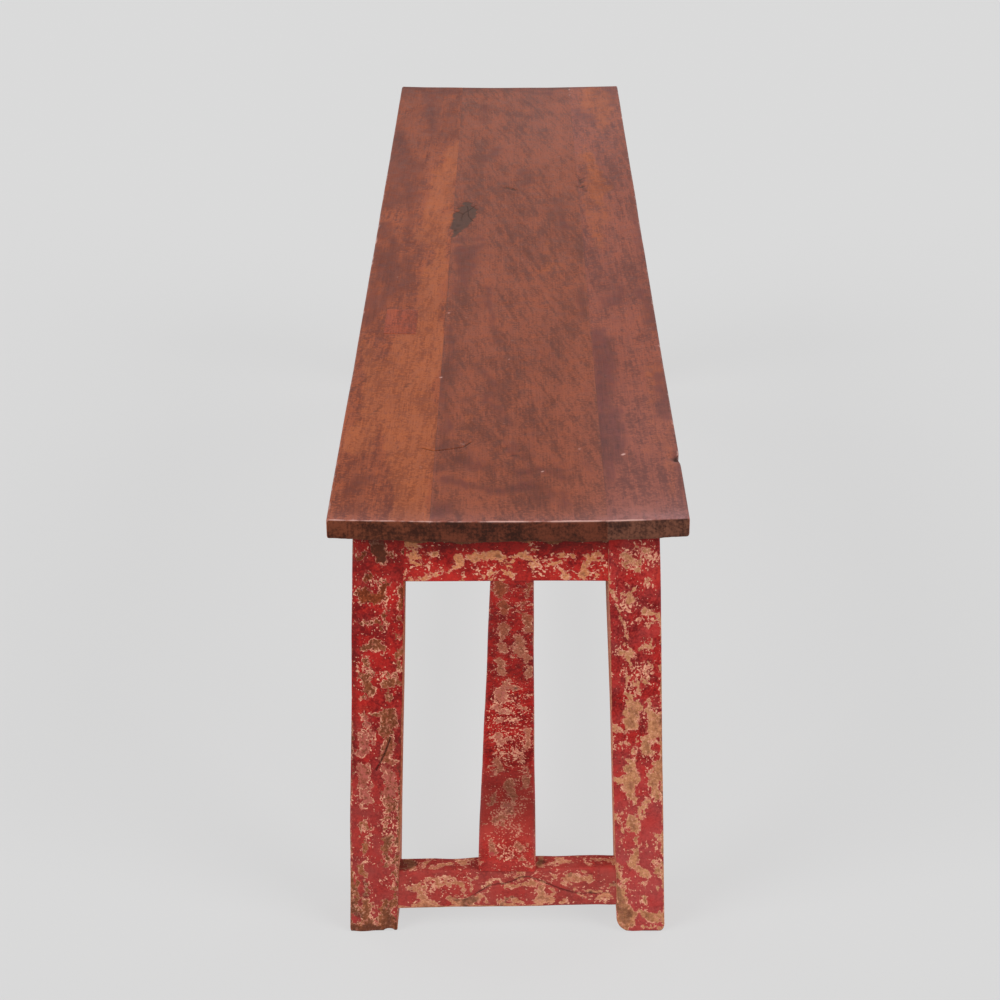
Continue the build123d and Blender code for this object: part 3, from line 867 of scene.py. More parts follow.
def mark_board(board, name):
    """Gives a board its stains, knots, cracks, painted highlight and painted sheen."""
    points = board.rest[:, :2]
    across, along, up = board.rest.T
    top_side = board.on_side(Z, 1)
    crack = np.zeros(len(points))
    for line, width, depth, darkness in CUTS:
        crack = np.maximum(crack, darkness * board.groove(points, line, width, depth, Z, 1))
    knot = into_strokes(wandering(points, board.rest, TOP_SEED + 5, 1.6, 12), KNOTS)
    knot = rise(knot, -3, 3) * top_side
    board.place[:, Z] -= 0.5 * rise(knot, 0.3, 0.8)
    notch = soft(points, [EDGE_NOTCH])
    board.place[:, X] -= 3.0 * notch * (across > 0)
    board.place[:, Z] -= 4.0 * notch * top_side
    crack = np.maximum(crack, 0.8 * rise(notch, 0.35, 0.9))

    specks = soft(points, [(x, y, 1.6, 2.2) for x, y in PALE_SPECKS]) * top_side
    end_specks = soft(board.rest[:, [X, Z]], [(x, z, 2.0, 1.2) for x, z in END_SPECKS])
    specks = np.maximum(specks, end_specks * board.on_side(Y, -1))
    # Painted highlight: a thin pale line along the near top arris, a fainter one along the long
    # edges
    near_arris = np.exp(-(((along + half_length - 1.0) / 1.2) ** 2))
    side_arris = 0.4 * np.exp(-(((np.abs(across) - top_high[X] + 1.2) / 1.4) ** 2))
    rubbed = np.maximum(near_arris, side_arris) * (up > top_high[Z] - 3)
    rubbed *= 0.82 + 0.22 * wobble(board.rest, 30, TOP_SEED + 6)

    from_end = along + half_length
    rightwards = rise(across, 40, 150)
    distant = rise(along, 300, 560)
    # Painted sheen, strongest along the near end and on the right, faint towards the far end
    haze = 0.15 * np.exp(-from_end / 16) + 0.15 * rightwards * np.exp(-from_end / 35)
    haze += 0.05 * rightwards * rise(-along, 400, 600) + 0.04 * distant * rise(across, -60, 60)

    drifted = wandering(points, board.rest * squeezed(Y, 0.4), TOP_SEED + 4, 5.0, 34)
    pale = rise(into_strokes(drifted, SAPWOOD.get(name, [])), -7, 9)
    brown = 0.45 * rise(into_strokes(drifted, PALE_BROWN[name]), -14, 12)
    brown += 0.3 * distant * rightwards
    dark = rise(into_strokes(drifted, DARK_CLOUDS[name]), -14, 10)
    dark += 0.45 * distant * rise(-across, 60, 110)
    board.paint(
        light=np.maximum(pale, brown) * top_side, dark=dark, knot=knot, crack=crack,
        polish=np.maximum(rubbed, specks * 1.4), haze=haze * top_side,
        end=rise(np.abs(board.facing[:, Y]), 0.6, 0.9), under=board.on_side(Z, -1),
    )


def make_top():
    """The three boards and the patch let into the left one."""
    for name, finish in BOARDS.items():
        node = "top_board_" + name
        lines = [(*line, Z, 1) for line in FINE_LINES[name]]
        board = Timber(node, *extent(node), WORN_ARRIS, BOARD_SPACING, SEAMS[name], lines)
        shape_board(board)
        mark_board(board, name)
        board.finish(stained_board("stained_" + name, *finish), "stained_top")
    patch = Timber("top_patch", *extent("top_patch"), PATCH_ARRIS, PATCH_SPACING)
    patch.place[:, Z] += cup(patch.place) + PATCH_PROUD
    edge = fall(patch.from_arris(Z), 0.2, 1.2)
    patch.paint(
        light=0.1, dark=0.0, knot=0.0, crack=0.4 * edge, polish=0.0, haze=0.0, end=0.0, under=0.0
    )
    patch.finish(stained_board("stained_patch", *PATCH), "stained_patch")


# Paint wear at the near end: strokes of (across, up, half width). Bare strokes have lost their
# paint, pink ones show primer, kept ones are paint that has stayed, and flecked and dirty ones are
# what they say. Across a leg is from its own middle, before it leans.

LEFT_LEG_BARE = [
    [(-1, 496, 8), (3, 482, 5)], [(-22, 486, 2), (-19, 489, 2)], [(15, 490, 3)], [(24, 494, 3)],
    [(-15, 441, 7), (-2, 440, 8), (6, 449, 5)], [(-15, 433, 3), (-5, 433, 2)],
    [(-13, 470, 2), (-12, 458, 2)], [(1, 458, 3), (8, 452, 3)],
    [(9, 440, 2), (7, 415, 3), (7, 402, 3)], [(-20, 407, 2), (-11, 407, 4), (-4, 410, 5)],
    [(24, 452, 3), (25, 430, 4), (23, 413, 4)], [(21, 391, 3)],
    [(24, 375, 2), (23, 358, 2), (22, 344, 3)], [(-11, 377, 5), (-2, 380, 6), (3, 374, 5)],
    [(-14, 362, 3), (-10, 350, 4)], [(-11, 342, 6), (-9, 325, 7), (-7, 318, 4)],
    [(-19, 345, 2), (-17, 338, 2)], [(12, 343, 3), (10, 335, 5), (13, 324, 3), (10, 314, 2)],
    [(20, 335, 4)], [(-17, 313, 2), (-13, 312, 2), (-12, 303, 1)],
    [(-12, 293, 3), (0, 292, 4), (12, 296, 7), (15, 285, 9), (10, 275, 7), (8, 267, 4)],
    [(15, 260, 4), (12, 245, 5), (10, 235, 5), (18, 232, 4)],
    [(12, 180, 7), (18, 176, 6), (13, 168, 3)], [(14, 160, 3)], [(11, 152, 2), (9, 144, 2)],
    [(13, 131, 6), (12, 118, 6), (12, 108, 3), (14, 93, 4)], [(25, 200, 2), (25, 60, 2)],
    [(-16, 152, 1), (-17, 136, 2)], [(-11, 152, 2), (-7, 134, 3)], [(-12, 126, 2), (-12, 113, 3)],
    [(-11, 99, 2), (-15, 88, 5), (-14, 79, 4)], [(-12, 66, 4), (-8, 54, 4)],
    [(-9, 42, 5), (-10, 25, 8), (-8, 10, 9)], [(13, 43, 4), (12, 30, 8), (12, 12, 9)],
    [(-22, 5, 6), (24, 5, 7)], [(24, 80, 2), (22, 40, 3)], [(-23, 75, 1), (-21, 30, 4)],
]
LEFT_LEG_PINK = [
    [(-13, 288, 4), (-11, 278, 5)], [(-14, 264, 5), (-14, 245, 6)], [(-5, 272, 3), (-4, 255, 3)],
    [(-14, 225, 6), (-13, 213, 6)], [(-10, 200, 5), (-12, 183, 6), (-13, 173, 4)],
    [(9, 225, 3), (16, 215, 5), (17, 203, 4), (13, 193, 7)], [(-14, 204, 5)],
]
LEFT_LEG_KEPT = [
    [(-24, 440, 2), (-25, 300, 2)], [(14, 398, 6), (15, 366, 7), (8, 352, 5)],
    [(0, 347, 3), (4, 330, 2)], [(-6, 305, 4), (-21, 300, 5)], [(17, 322, 4), (18, 312, 4)],
    [(-22, 328, 4)], [(-6, 240, 5)], [(4, 215, 5), (9, 204, 4)],
    [(-1, 190, 5), (0, 160, 7), (0, 120, 6), (-2, 90, 5)], [(19, 245, 1)], [(2, 44, 3), (1, 18, 4)],
    [(-23, 160, 2), (-23, 90, 2)], [(17, 75, 6)], [(21, 108, 4)], [(-12, 425, 6)], [(17, 440, 4)],
]
LEFT_LEG_FLECKED = [
    [(-8, 462, 6)], [(3, 436, 6)], [(-16, 392, 5)], [(-16, 360, 7), (-18, 340, 6)], [(10, 340, 9)],
    [(-8, 400, 10)], [(14, 160, 8), (14, 140, 8)], [(14, 70, 9)], [(-12, 140, 8)],
]
LEFT_LEG_DIRTY = [
    [(-13, 70, 4), (-8, 52, 5)], [(-16, 152, 1), (-17, 136, 2)], [(-24, 3, 7), (24, 3, 7)],
    [(14, 44, 4), (14, 30, 5)], [(13, 130, 4), (13, 95, 3)], [(-2, 500, 8), (3, 482, 3)],
    [(26, 300, 1), (26, 20, 2)], [(-22, 60, 2), (-18, 25, 6)], [(12, 25, 6), (18, 10, 6)],
    [(-10, 40, 4)],
]
LEFT_LEG_CRACK = [(15, 262), (10, 245), (5, 232), (0, 221)]

RIGHT_LEG_BARE = [
    [(-27, 492, 3)], [(-12, 488, 4), (-6, 484, 5), (0, 480, 3)],
    [(4, 498, 2), (10, 494, 4), (13, 487, 3)], [(3, 472, 3)], [(17, 484, 3)],
    [(-13, 476, 2), (-7, 474, 2)], [(8, 482, 4)], [(-8, 456, 3)], [(16, 455, 3), (20, 450, 1)],
    [(0, 446, 3), (-4, 440, 5), (-7, 430, 3)], [(11, 423, 4), (16, 420, 3)],
    [(19, 432, 1), (19, 416, 1)], [(18, 407, 2)], [(11, 402, 2)],
    [(-27, 470, 1), (-26, 448, 3), (-21, 434, 2)],
    [(-18, 422, 2), (-13, 410, 2), (-11, 397, 3), (-9, 388, 2)],
    [(-8, 380, 2), (-6, 370, 4), (-8, 360, 2), (-5, 350, 2)], [(-17, 374, 1), (-13, 364, 1)],
    [(8, 380, 2), (14, 379, 4), (17, 388, 2)], [(15, 361, 1), (19, 352, 2)],
    [(10, 347, 3), (13, 340, 3), (11, 331, 3)], [(4, 338, 1)],
    [(-11, 350, 1), (-10, 335, 2), (-8, 320, 3)], [(-3, 336, 1), (0, 326, 2), (2, 317, 3)],
    [(-5, 312, 5), (-2, 300, 8), (-5, 288, 8), (-6, 278, 5)],
    [(17, 318, 1), (15, 310, 3), (12, 302, 5)],
    [(16, 294, 7), (18, 283, 7), (17, 270, 6), (16, 262, 5)], [(-25, 274, 3), (-12, 272, 3)],
    [(-14, 264, 2), (-11, 250, 2)], [(2, 262, 4), (10, 254, 8), (12, 245, 6)],
    [(-3, 248, 2), (-3, 238, 3)],
    [(-9, 235, 3), (-7, 225, 6), (-9, 212, 8), (-10, 198, 9), (-6, 188, 7), (-2, 178, 2)],
    [(-22, 206, 4)], [(22, 232, 3), (19, 215, 7), (16, 202, 7), (20, 190, 4), (19, 180, 2)],
    [(9, 183, 2), (7, 174, 2), (5, 165, 3), (2, 156, 2)], [(-13, 170, 2)],
    [(-21, 163, 1), (-21, 140, 2)], [(-8, 156, 6), (-8, 147, 7), (-1, 143, 6)],
    [(-2, 132, 2), (-5, 112, 4), (-6, 92, 4), (2, 82, 5), (9, 77, 4)], [(4, 65, 3)],
    [(14, 125, 1), (9, 120, 2)], [(21, 132, 2), (22, 118, 3)], [(14, 100, 3)],
    [(21, 92, 3), (22, 80, 2)], [(21, 62, 3)], [(-20, 128, 2)], [(-22, 252, 2)], [(4, 410, 2)],
    [(-28, 96, 2), (-24, 82, 4), (-18, 68, 4), (-13, 58, 3)],
    [(-24, 60, 7), (-20, 40, 8), (-15, 22, 12), (-18, 8, 9)], [(3, 50, 4), (6, 42, 4)],
    [(3, 30, 3), (6, 20, 6), (15, 18, 4), (22, 25, 3)], [(4, 6, 3), (20, 5, 3)],
]
RIGHT_LEG_KEPT = [
    [(-20, 420, 2), (-21, 290, 3)], [(-6, 333, 1), (-6, 327, 1)], [(5, 286, 1), (8, 277, 2)],
    [(4, 266, 2), (3, 257, 1)], [(-18, 262, 2)], [(5, 235, 4), (4, 215, 4), (4, 198, 3)],
    [(-18, 235, 3), (-17, 222, 1)], [(13, 150, 4), (13, 112, 3)], [(-17, 115, 3), (-14, 88, 3)],
    [(13, 52, 4), (14, 40, 3)], [(-6, 60, 3), (-3, 35, 2)], [(0, 410, 3), (0, 395, 3)],
]
RIGHT_LEG_FLECKED = [
    [(-6, 482, 12), (12, 484, 12)], [(-10, 428, 7)], [(12, 412, 8)], [(9, 345, 9)], [(0, 330, 7)],
    [(-15, 365, 4)], [(16, 300, 5)], [(-20, 150, 5)], [(18, 452, 6)], [(16, 375, 6)],
    [(18, 330, 5)], [(18, 100, 6)], [(-18, 250, 5)],
]
RIGHT_LEG_DIRTY = [
    [(12, 386, 2)], [(-26, 88, 2), (-25, 60, 4), (-22, 40, 5), (-17, 20, 7)], [(6, 46, 3)],
    [(26, 290, 2), (20, 283, 2)],
]
RIGHT_LEG_RIDGE = [(-28, 458), (-23, 436), (-18, 420), (-14, 406), (-12, 392), (-9, 378)]

NEAR_APRON_BARE = [
    [(-106, 489, 3), (-97, 489, 4)], [(-82, 488, 3), (-77, 489, 4)],
    [(-103, 481, 2), (-94, 479, 3), (-84, 480, 2)], [(-50, 487, 3), (-52, 480, 3), (-57, 475, 3)],
    [(-37, 486, 5), (-30, 486, 7), (-20, 486, 6), (-10, 485, 5)],
    [(9, 484, 3), (18, 486, 6), (26, 484, 3), (34, 483, 1)], [(4, 474, 3)],
    [(-2, 481, 1), (5, 481, 1)], [(49, 486, 3), (57, 488, 3)],
    [(38, 480, 1), (46, 477, 3), (58, 480, 1)], [(26, 476, 2), (29, 471, 4)],
    [(66, 487, 2), (68, 481, 1)],
    [(96, 490, 1), (91, 488, 5), (86, 482, 5), (81, 475, 4), (79, 462, 5)], [(60, 464, 5)],
    [(94, 463, 2)], [(99, 480, 2), (96, 486, 3)], [(84, 490, 3)], [(53, 471, 1)],
    [(-72, 469, 2), (-80, 464, 3), (-90, 459, 3), (-100, 457, 2)], [(-107, 463, 2)],
    [(-68, 469, 2), (-60, 471, 1)], [(-33, 469, 1), (-27, 463, 2)],
    [(-17, 466, 3), (-8, 468, 2), (1, 466, 4), (5, 461, 3)], [(-19, 460, 3), (-5, 457, 2)],
    [(27, 496, 2)], [(-48, 466, 1), (-48, 458, 1)], [(-104, 502, 4), (-94, 498, 3)],
]
NEAR_APRON_KEPT = [
    [(-63, 487, 7)], [(-86, 497, 3), (15, 499, 5)], [(40, 498, 4), (100, 499, 5)], [(-90, 471, 4)],
    [(-30, 474, 3), (-12, 474, 3)], [(-62, 462, 4)], [(14, 468, 5), (14, 460, 5)], [(42, 462, 4)],
    [(67, 474, 3)], [(-8, 463, 1)],
]
NEAR_APRON_FLECKED = [
    [(-84, 474, 2)], [(-42, 466, 6), (-22, 464, 9)], [(30, 475, 6), (60, 474, 5)], [(88, 466, 7)],
    [(30, 495, 8)], [(66, 486, 5)], [(30, 462, 5)], [(-75, 498, 6)],
]

NEAR_STRETCHER_BARE = [
    [(-109, 65, 4), (-98, 66, 4)], [(-102, 58, 4), (-98, 50, 5), (-94, 43, 4)],
    [(-108, 40, 3), (-84, 41, 3)], [(-93, 72, 3), (-84, 71, 4), (-80, 66, 4)],
    [(-77, 75, 2), (-66, 75, 3), (-60, 73, 3), (-57, 66, 4), (-54, 59, 3), (-50, 53, 3)],
    [(-66, 67, 2)], [(-88, 62, 2)],
    [(-68, 47, 4), (-60, 44, 6), (-48, 43, 7), (-37, 46, 5), (-31, 51, 3)],
    [(-46, 74, 1), (-43, 60, 2)], [(-36, 77, 2)], [(-25, 66, 2), (-18, 70, 3), (-12, 70, 2)],
    [(-5, 77, 2), (1, 79, 2)], [(4, 83, 2), (16, 84, 2)], [(-6, 62, 2), (2, 61, 3), (11, 64, 2)],
    [(14, 78, 3)], [(-53, 55, 3)], [(-60, 52, 2)], [(6, 74, 2)],
    [(20, 66, 3), (27, 66, 4), (25, 72, 1)], [(-24, 57, 1)],
    [(-12, 43, 3), (0, 42, 5), (10, 42, 5), (19, 40, 3)], [(5, 49, 2)], [(-26, 44, 2)],
    [(36, 62, 5), (34, 52, 4), (36, 44, 5), (47, 43, 5), (50, 52, 3), (46, 60, 3)],
    [(47, 72, 2), (50, 78, 2)], [(33, 81, 1), (38, 76, 2)], [(61, 76, 3), (70, 75, 6), (79, 74, 4)],
    [(60, 68, 2), (68, 67, 3), (82, 73, 3), (94, 74, 2)], [(75, 82, 1), (86, 82, 3)],
    [(62, 42, 3), (68, 43, 2)], [(74, 56, 2)], [(82, 48, 1), (87, 45, 2)],
    [(99, 46, 3), (113, 46, 3)], [(92, 54, 2), (102, 54, 2)], [(112, 60, 1), (119, 63, 3)],
    [(110, 51, 2)],
]
NEAR_STRETCHER_KEPT = [
    [(-114, 52, 5)], [(-84, 54, 3), (-75, 48, 4)], [(-64, 57, 4)], [(-14, 54, 5), (22, 53, 4)],
    [(-32, 72, 4), (-20, 78, 3)], [(43, 53, 2)], [(68, 58, 4), (85, 64, 3)], [(105, 76, 6)],
    [(0, 73, 2)],
]
NEAR_STRETCHER_FLECKED = [
    [(-85, 68, 8), (-60, 70, 6)], [(30, 72, 8), (50, 76, 6)], [(95, 50, 10)], [(-100, 45, 8)],
]
NEAR_STRETCHER_DIRTY = [
    [(-108, 65, 2)], [(-64, 47, 3), (-48, 42, 5), (-36, 47, 3)], [(-6, 43, 3), (6, 46, 2)],
    [(68, 77, 5)], [(94, 53, 3)], [(112, 60, 1), (120, 63, 4)],
]
NEAR_STRETCHER_CRACK = [
    (-62, 43), (-48, 44), (-40, 51), (-30, 58), (-22, 63), (-14, 65), (-4, 66), (4, 69), (12, 74),
    (22, 75), (30, 72), (40, 67), (50, 62), (60, 57), (72, 52), (84, 50), (115, 50),
]

# The same on upper faces: (x, y, half width)
STRETCHER_TOP_BARE = [
    [(-114, -777, 5), (-112, -790, 6)], [(-100, -790, 3), (-92, -778, 3)],
    [(-88, -790, 2), (-74, -788, 3), (-64, -786, 2)],
    [(-58, -775, 3), (-50, -784, 4), (-44, -778, 3)], [(36, -776, 4), (37, -790, 4)],
    [(44, -792, 2), (56, -782, 2)], [(52, -776, 2), (70, -788, 2)], [(76, -775, 2), (90, -788, 2)],
    [(95, -776, 3), (116, -788, 3)],
]
STRETCHER_TOP_DIRTY = [[(-116, -785, 9)], [(36, -785, 4)]]
PLANK_BARE = [
    [(-15, -150, 9), (-12, -175, 9), (-14, -192, 6)], [(-4, -165, 4)],
    [(28, -152, 5), (26, -175, 4), (23, -190, 3)], [(-10, -205, 6), (-6, -220, 8), (-9, -236, 6)],
    [(12, -230, 4)], [(18, -205, 3), (17, -222, 3)], [(27, -213, 3)],
    [(25, -246, 6), (26, -265, 6), (24, -284, 5)], [(17, -240, 3)],
    [(-8, -264, 3), (-6, -280, 8), (-8, -295, 6), (-12, -308, 2)],
    [(12, -298, 4), (14, -320, 6), (12, -335, 7), (14, -350, 5)],
    [(23, -352, 5), (22, -366, 4), (26, -385, 4), (25, -402, 4)], [(-10, -323, 7), (-6, -341, 4)],
    [(-14, -360, 6), (-9, -372, 7), (-10, -386, 7), (-6, -400, 3)], [(2, -351, 2)],
    [(-20, -405, 2)], [(-2, -412, 3), (-6, -425, 5), (-12, -440, 7), (-9, -456, 7)],
    [(5, -429, 5), (13, -431, 4)], [(25, -448, 4)], [(-16, -478, 4), (-5, -488, 3)],
    [(-13, -508, 5)], [(5, -506, 3)], [(14, -470, 4), (20, -480, 3)],
    [(24, -530, 4), (23, -548, 5), (21, -565, 4)], [(12, -575, 2), (14, -597, 2)],
    [(-14, -600, 4), (-12, -615, 5), (-18, -627, 3)], [(20, -612, 3), (22, -632, 3), (20, -655, 4)],
    [(-1, -640, 5), (0, -655, 6), (5, -675, 5)], [(-18, -668, 3), (-19, -692, 3)],
    [(-3, -690, 6), (2, -704, 5), (-6, -718, 5), (-14, -723, 3)], [(-8, -731, 3)], [(-26, -728, 2)],
    [(18, -675, 2)], [(27, -662, 2)], [(-20, -760, 3), (-17, -782, 5)],
    [(8, -765, 3), (13, -780, 4)], [(23, -770, 2)], [(16, -795, 4)], [(-10, -796, 2)],
    [(-14, -538, 3), (-8, -562, 3)], [(-2, -550, 3)],
]
PLANK_KEPT = [
    [(10, -165, 4), (9, -190, 7), (5, -207, 4)], [(0, -250, 7), (9, -264, 6)], [(2, -302, 4)],
    [(5, -366, 3), (9, -385, 9), (12, -406, 7), (20, -421, 4)], [(-25, -240, 1), (-26, -400, 1)],
    [(29, -300, 2), (29, -345, 2)], [(0, -748, 5)], [(10, -530, 6), (7, -570, 5)], [(2, -610, 6)],
]
PLANK_FLECKED = [
    [(-6, -455, 20), (0, -520, 24), (-2, -590, 22)], [(0, -700, 18), (0, -744, 17)],
    [(-5, -782, 15)],
]
PLANK_PINK = [[(-10, -440, 16), (0, -520, 20), (-4, -560, 20)], [(-2, -700, 9)]]
PLANK_DIRTY = [[(0, -652, 6), (4, -672, 4)], [(8, -430, 3)]]
PLANK_KNOT = (8, -430, 5, 4)

# Wood where the paint has gone: dark and light tones
BROWN_WOOD = (linear(106, 54, 31), linear(154, 90, 58))
OCHRE_WOOD = (linear(157, 99, 66), linear(199, 138, 99))
HONEY_WOOD = (linear(178, 106, 67), linear(216, 143, 98))
TAN_WOOD = (linear(164, 98, 68), linear(200, 136, 102))
RUSSET_WOOD = (linear(148, 78, 58), linear(186, 110, 84))

# What the red has faded to
APRON_FADED = linear(190, 48, 40)
STRETCHER_FADED = linear(156, 67, 60)
# The plank's faded red is lighter too, as painted light where shadows fall on it
PLANK_FADED = linear(186, 66, 58)

# The least and greatest depth of wear that bare strokes give and that kept ones take away, and how
# much more a kept stroke counts
BARE_DEPTHS = (-7.0, 7.0)
KEPT_DEPTHS = (-8.0, 5.0)
KEPT_STRENGTH = 1.4
# How much deeper the wear goes at an arris
ARRIS_WEAR = 4.0
# The heights between which red fades
FADING = (80, 360)


def wear_paint(timber, along, level, seed):
    """How deep the wear goes all over a piece: level is its usual depth, in millimetres."""
    drawn_out = timber.rest * squeezed(along, 0.55)
    field = level + 4.2 * wobble(drawn_out, 19, seed) + 2.6 * wobble(drawn_out, 8, seed + 1)
    closeness = np.exp(-timber.from_arris(along) / 1.6)
    return field + ARRIS_WEAR * closeness * (0.9 + wobble(timber.rest, 26, seed + 2))


def placed_wear(points, bare, kept=()):
    """Wear that follows listed strokes."""
    field = np.clip(into_strokes(points, bare), *BARE_DEPTHS)
    stayed = np.clip(KEPT_STRENGTH * into_strokes(points, kept), *KEPT_DEPTHS)
    return np.minimum(field, -stayed)


def share_of(points, strokes, reach=5.0):
    """How strongly each point belongs to some strokes, from 0 to 1, fading over a reach."""
    return rise(into_strokes(points, strokes), -reach, reach / 2)


def finish_painted(timber, along, wood, shift, layers, rim=1.0, faded_red=RED_FADED):
    """Paints a piece. Layers that aren't given are empty, but red fades near the floor."""
    given = dict.fromkeys(("flecks", "primed", "grime", "crack", "tanned", "russet"), 0.0)
    given["faded"] = fall(timber.rest[:, Z], *FADING)
    given.update(layers)
    timber.paint(**given)
    material = painted_wood("painted_" + timber.node, along, wood, shift, rim, faded_red)
    timber.finish(material, "red_paint")


LEG_WIDTH = 54.0
# How much wider a leg is towards the bench's middle than its node, and how much the left legs bulge
LEG_FULLNESS = 0.9
LEG_BULGE = 0.8
# How far a leg leans out for each millimetre down
leg_low, leg_high = extent("near_left_leg")
SLOPE = (leg_high[X] - leg_low[X] - LEG_WIDTH) / leg_top

# What has worn off a foot: (across, up) of a round chip's middle and its radius
FOOT_CHIPS = {"near_left": [(17, -4, 9)], "far_left": [(22, -5, 11)]}
# How round the corners of a foot are, left and right
FOOT_CORNERS = {
    "near_left": (5, 4), "near_right": (20, 11), "far_left": (9, 5), "far_right": (5, 12),
}

# The near legs' strokes, their crack as (line, width, depth) and how dark it is, how strong their
# scattered flecks are, and up to what height their outer arris is bare
NEAR_LEGS = {
    LEFT: {
        "bare": LEFT_LEG_BARE, "pink": LEFT_LEG_PINK, "kept": LEFT_LEG_KEPT,
        "flecked": LEFT_LEG_FLECKED, "dirty": LEFT_LEG_DIRTY,
        "crack": (LEFT_LEG_CRACK, 2.4, 2.2), "darkness": 0.8, "scattered": 0.3, "rubbed_to": 300,
    },
    RIGHT: {
        "bare": RIGHT_LEG_BARE, "pink": [], "kept": RIGHT_LEG_KEPT,
        "flecked": RIGHT_LEG_FLECKED, "dirty": RIGHT_LEG_DIRTY,
        "crack": (RIGHT_LEG_RIDGE, 1.8, 0.8), "darkness": 0.35, "scattered": 0.7, "rubbed_to": 430,
    },
}
# The bare wood and faded red of the legs on each side
LEG_WOOD = {LEFT: BROWN_WOOD, RIGHT: OCHRE_WOOD}
LEG_FADED = {LEFT: linear(149, 62, 57), RIGHT: linear(172, 74, 71)}


def leaning(node, side):
    """A leaning piece's box before it leans: side is the way out."""
    low, high = extent(node)
    moved = SLOPE * (leg_top - low[Z])
    if side == LEFT:
        low[X] += moved
    else:
        high[X] -= moved
    return low, high


def make_leg(name, side, end):
    """One splayed leg, its arrises worn round and its paint chipped."""
    node = name + "_leg"
    low, high = leaning(node, side)
    if side == LEFT:
        high[X] += LEG_FULLNESS
    else:
        low[X] -= LEG_FULLNESS
    near = end == NEAR
    seed = LEG_SEEDS[name]
    marks = NEAR_LEGS[side]
    middle = (low[X] + high[X]) / 2
    cracks = [([(middle + x, z) for x, z in marks["crack"][0]], 6, Y, -1)] if near else []
    leg = Timber(node, low, high, LEG_ARRIS, SPACING[end], cracks=cracks)
    height = leg.rest[:, Z]
    leg.wear_arrises(Z, 2.2, 1.6, 60, seed)
    leg.undulate(0.35, 55, Z, seed + 1)
    if side == LEFT:
        outside = leg.on_side(X, LEFT)
        leg.place[:, X] -= LEG_BULGE * outside * rise(height, 60, 160) * fall(height, 380, 450)
    leg.wear_foot(FOOT_CHIPS.get(name, []), FOOT_CORNERS[name])

    worn = wear_paint(leg, Z, -2.6, seed + 2) + 5 * np.exp(-height / 22)
    primed = rise(wobble(leg.rest, 40, seed + 5), 0.3, 1.6)
    flecks = 1.2 + 1.4 * wobble(leg.rest, 30, seed + 6)
    # Dirt towards the foot; also darker in the top 25 mm, under the board
    grime = 0.45 * np.exp(-height / 26) + 0.3 * rise(height, leg_top - 25, leg_top) - 0.3
    layers = {}
    if near:
        points = leg.rest[:, [X, Z]] - (middle, 0)
        across = points[:, 0]
        face = leg.on_side(Y, -1)
        inside = leg.on_side(X, -side)
        spread = wandering(points, leg.rest, seed)
        placed = placed_wear(spread, marks["bare"] + marks["pink"], marks["kept"])
        outer = np.exp(-np.maximum(leg.half[X] - side * across - 1.6, 0) / 1.2)
        placed += 7.0 * outer * (height < marks["rubbed_to"])
        worn = blended(worn + 7 * inside, placed, face)
        pink = share_of(spread, marks["pink"])
        dirty = share_of(spread, marks["dirty"], 3.0) * face
        crack = marks["darkness"] * leg.groove(points, *marks["crack"], Y, -1)
        scattered = marks["scattered"] * rise(height, 240, 330)
        flecks = blended(flecks, scattered + 3.3 * share_of(spread, marks["flecked"]), face)
        if side == LEFT:
            pink = np.maximum(pink, 0.5 * rise(height, 140, 190) * fall(height, 240, 310))
            dirty *= 1 + 0.5 * rise(height, 150, 200)
            # The left leg darkens towards its top, under the board
            grime += 0.3 * rise(height, leg_top - 90, leg_top - 20)
            # Painted shade along the left edge of the face, 180 to 420 mm up
            shaded = 0.55 * rise(-across, 17, 24) * rise(height, 180, 240) * fall(height, 360, 420)
            crack = np.maximum(crack, shaded * face)
            # Darker towards the top, under the board
            crack = np.maximum(crack, 0.5 * rise(height, leg_top - 110, leg_top - 20))
            layers["russet"] = 0.4 * rise(height, 140, 200) + 0.6 * rise(height, 370, 430)
        grime += 0.8 * dirty
        primed = blended(primed, pink, face)
        layers.update(crack=crack, tanned=inside)
    if side == RIGHT:
        layers["faded"] = np.maximum(fall(height, *FADING), 0.25)
    leg.lean(side)
    layers.update(worn=worn, flecks=flecks, primed=primed, grime=grime)
    shift = (seed * 0.37, seed * 0.11, 0.0)
    finish_painted(leg, Z, LEG_WOOD[side], shift, layers, faded_red=LEG_FADED[side])


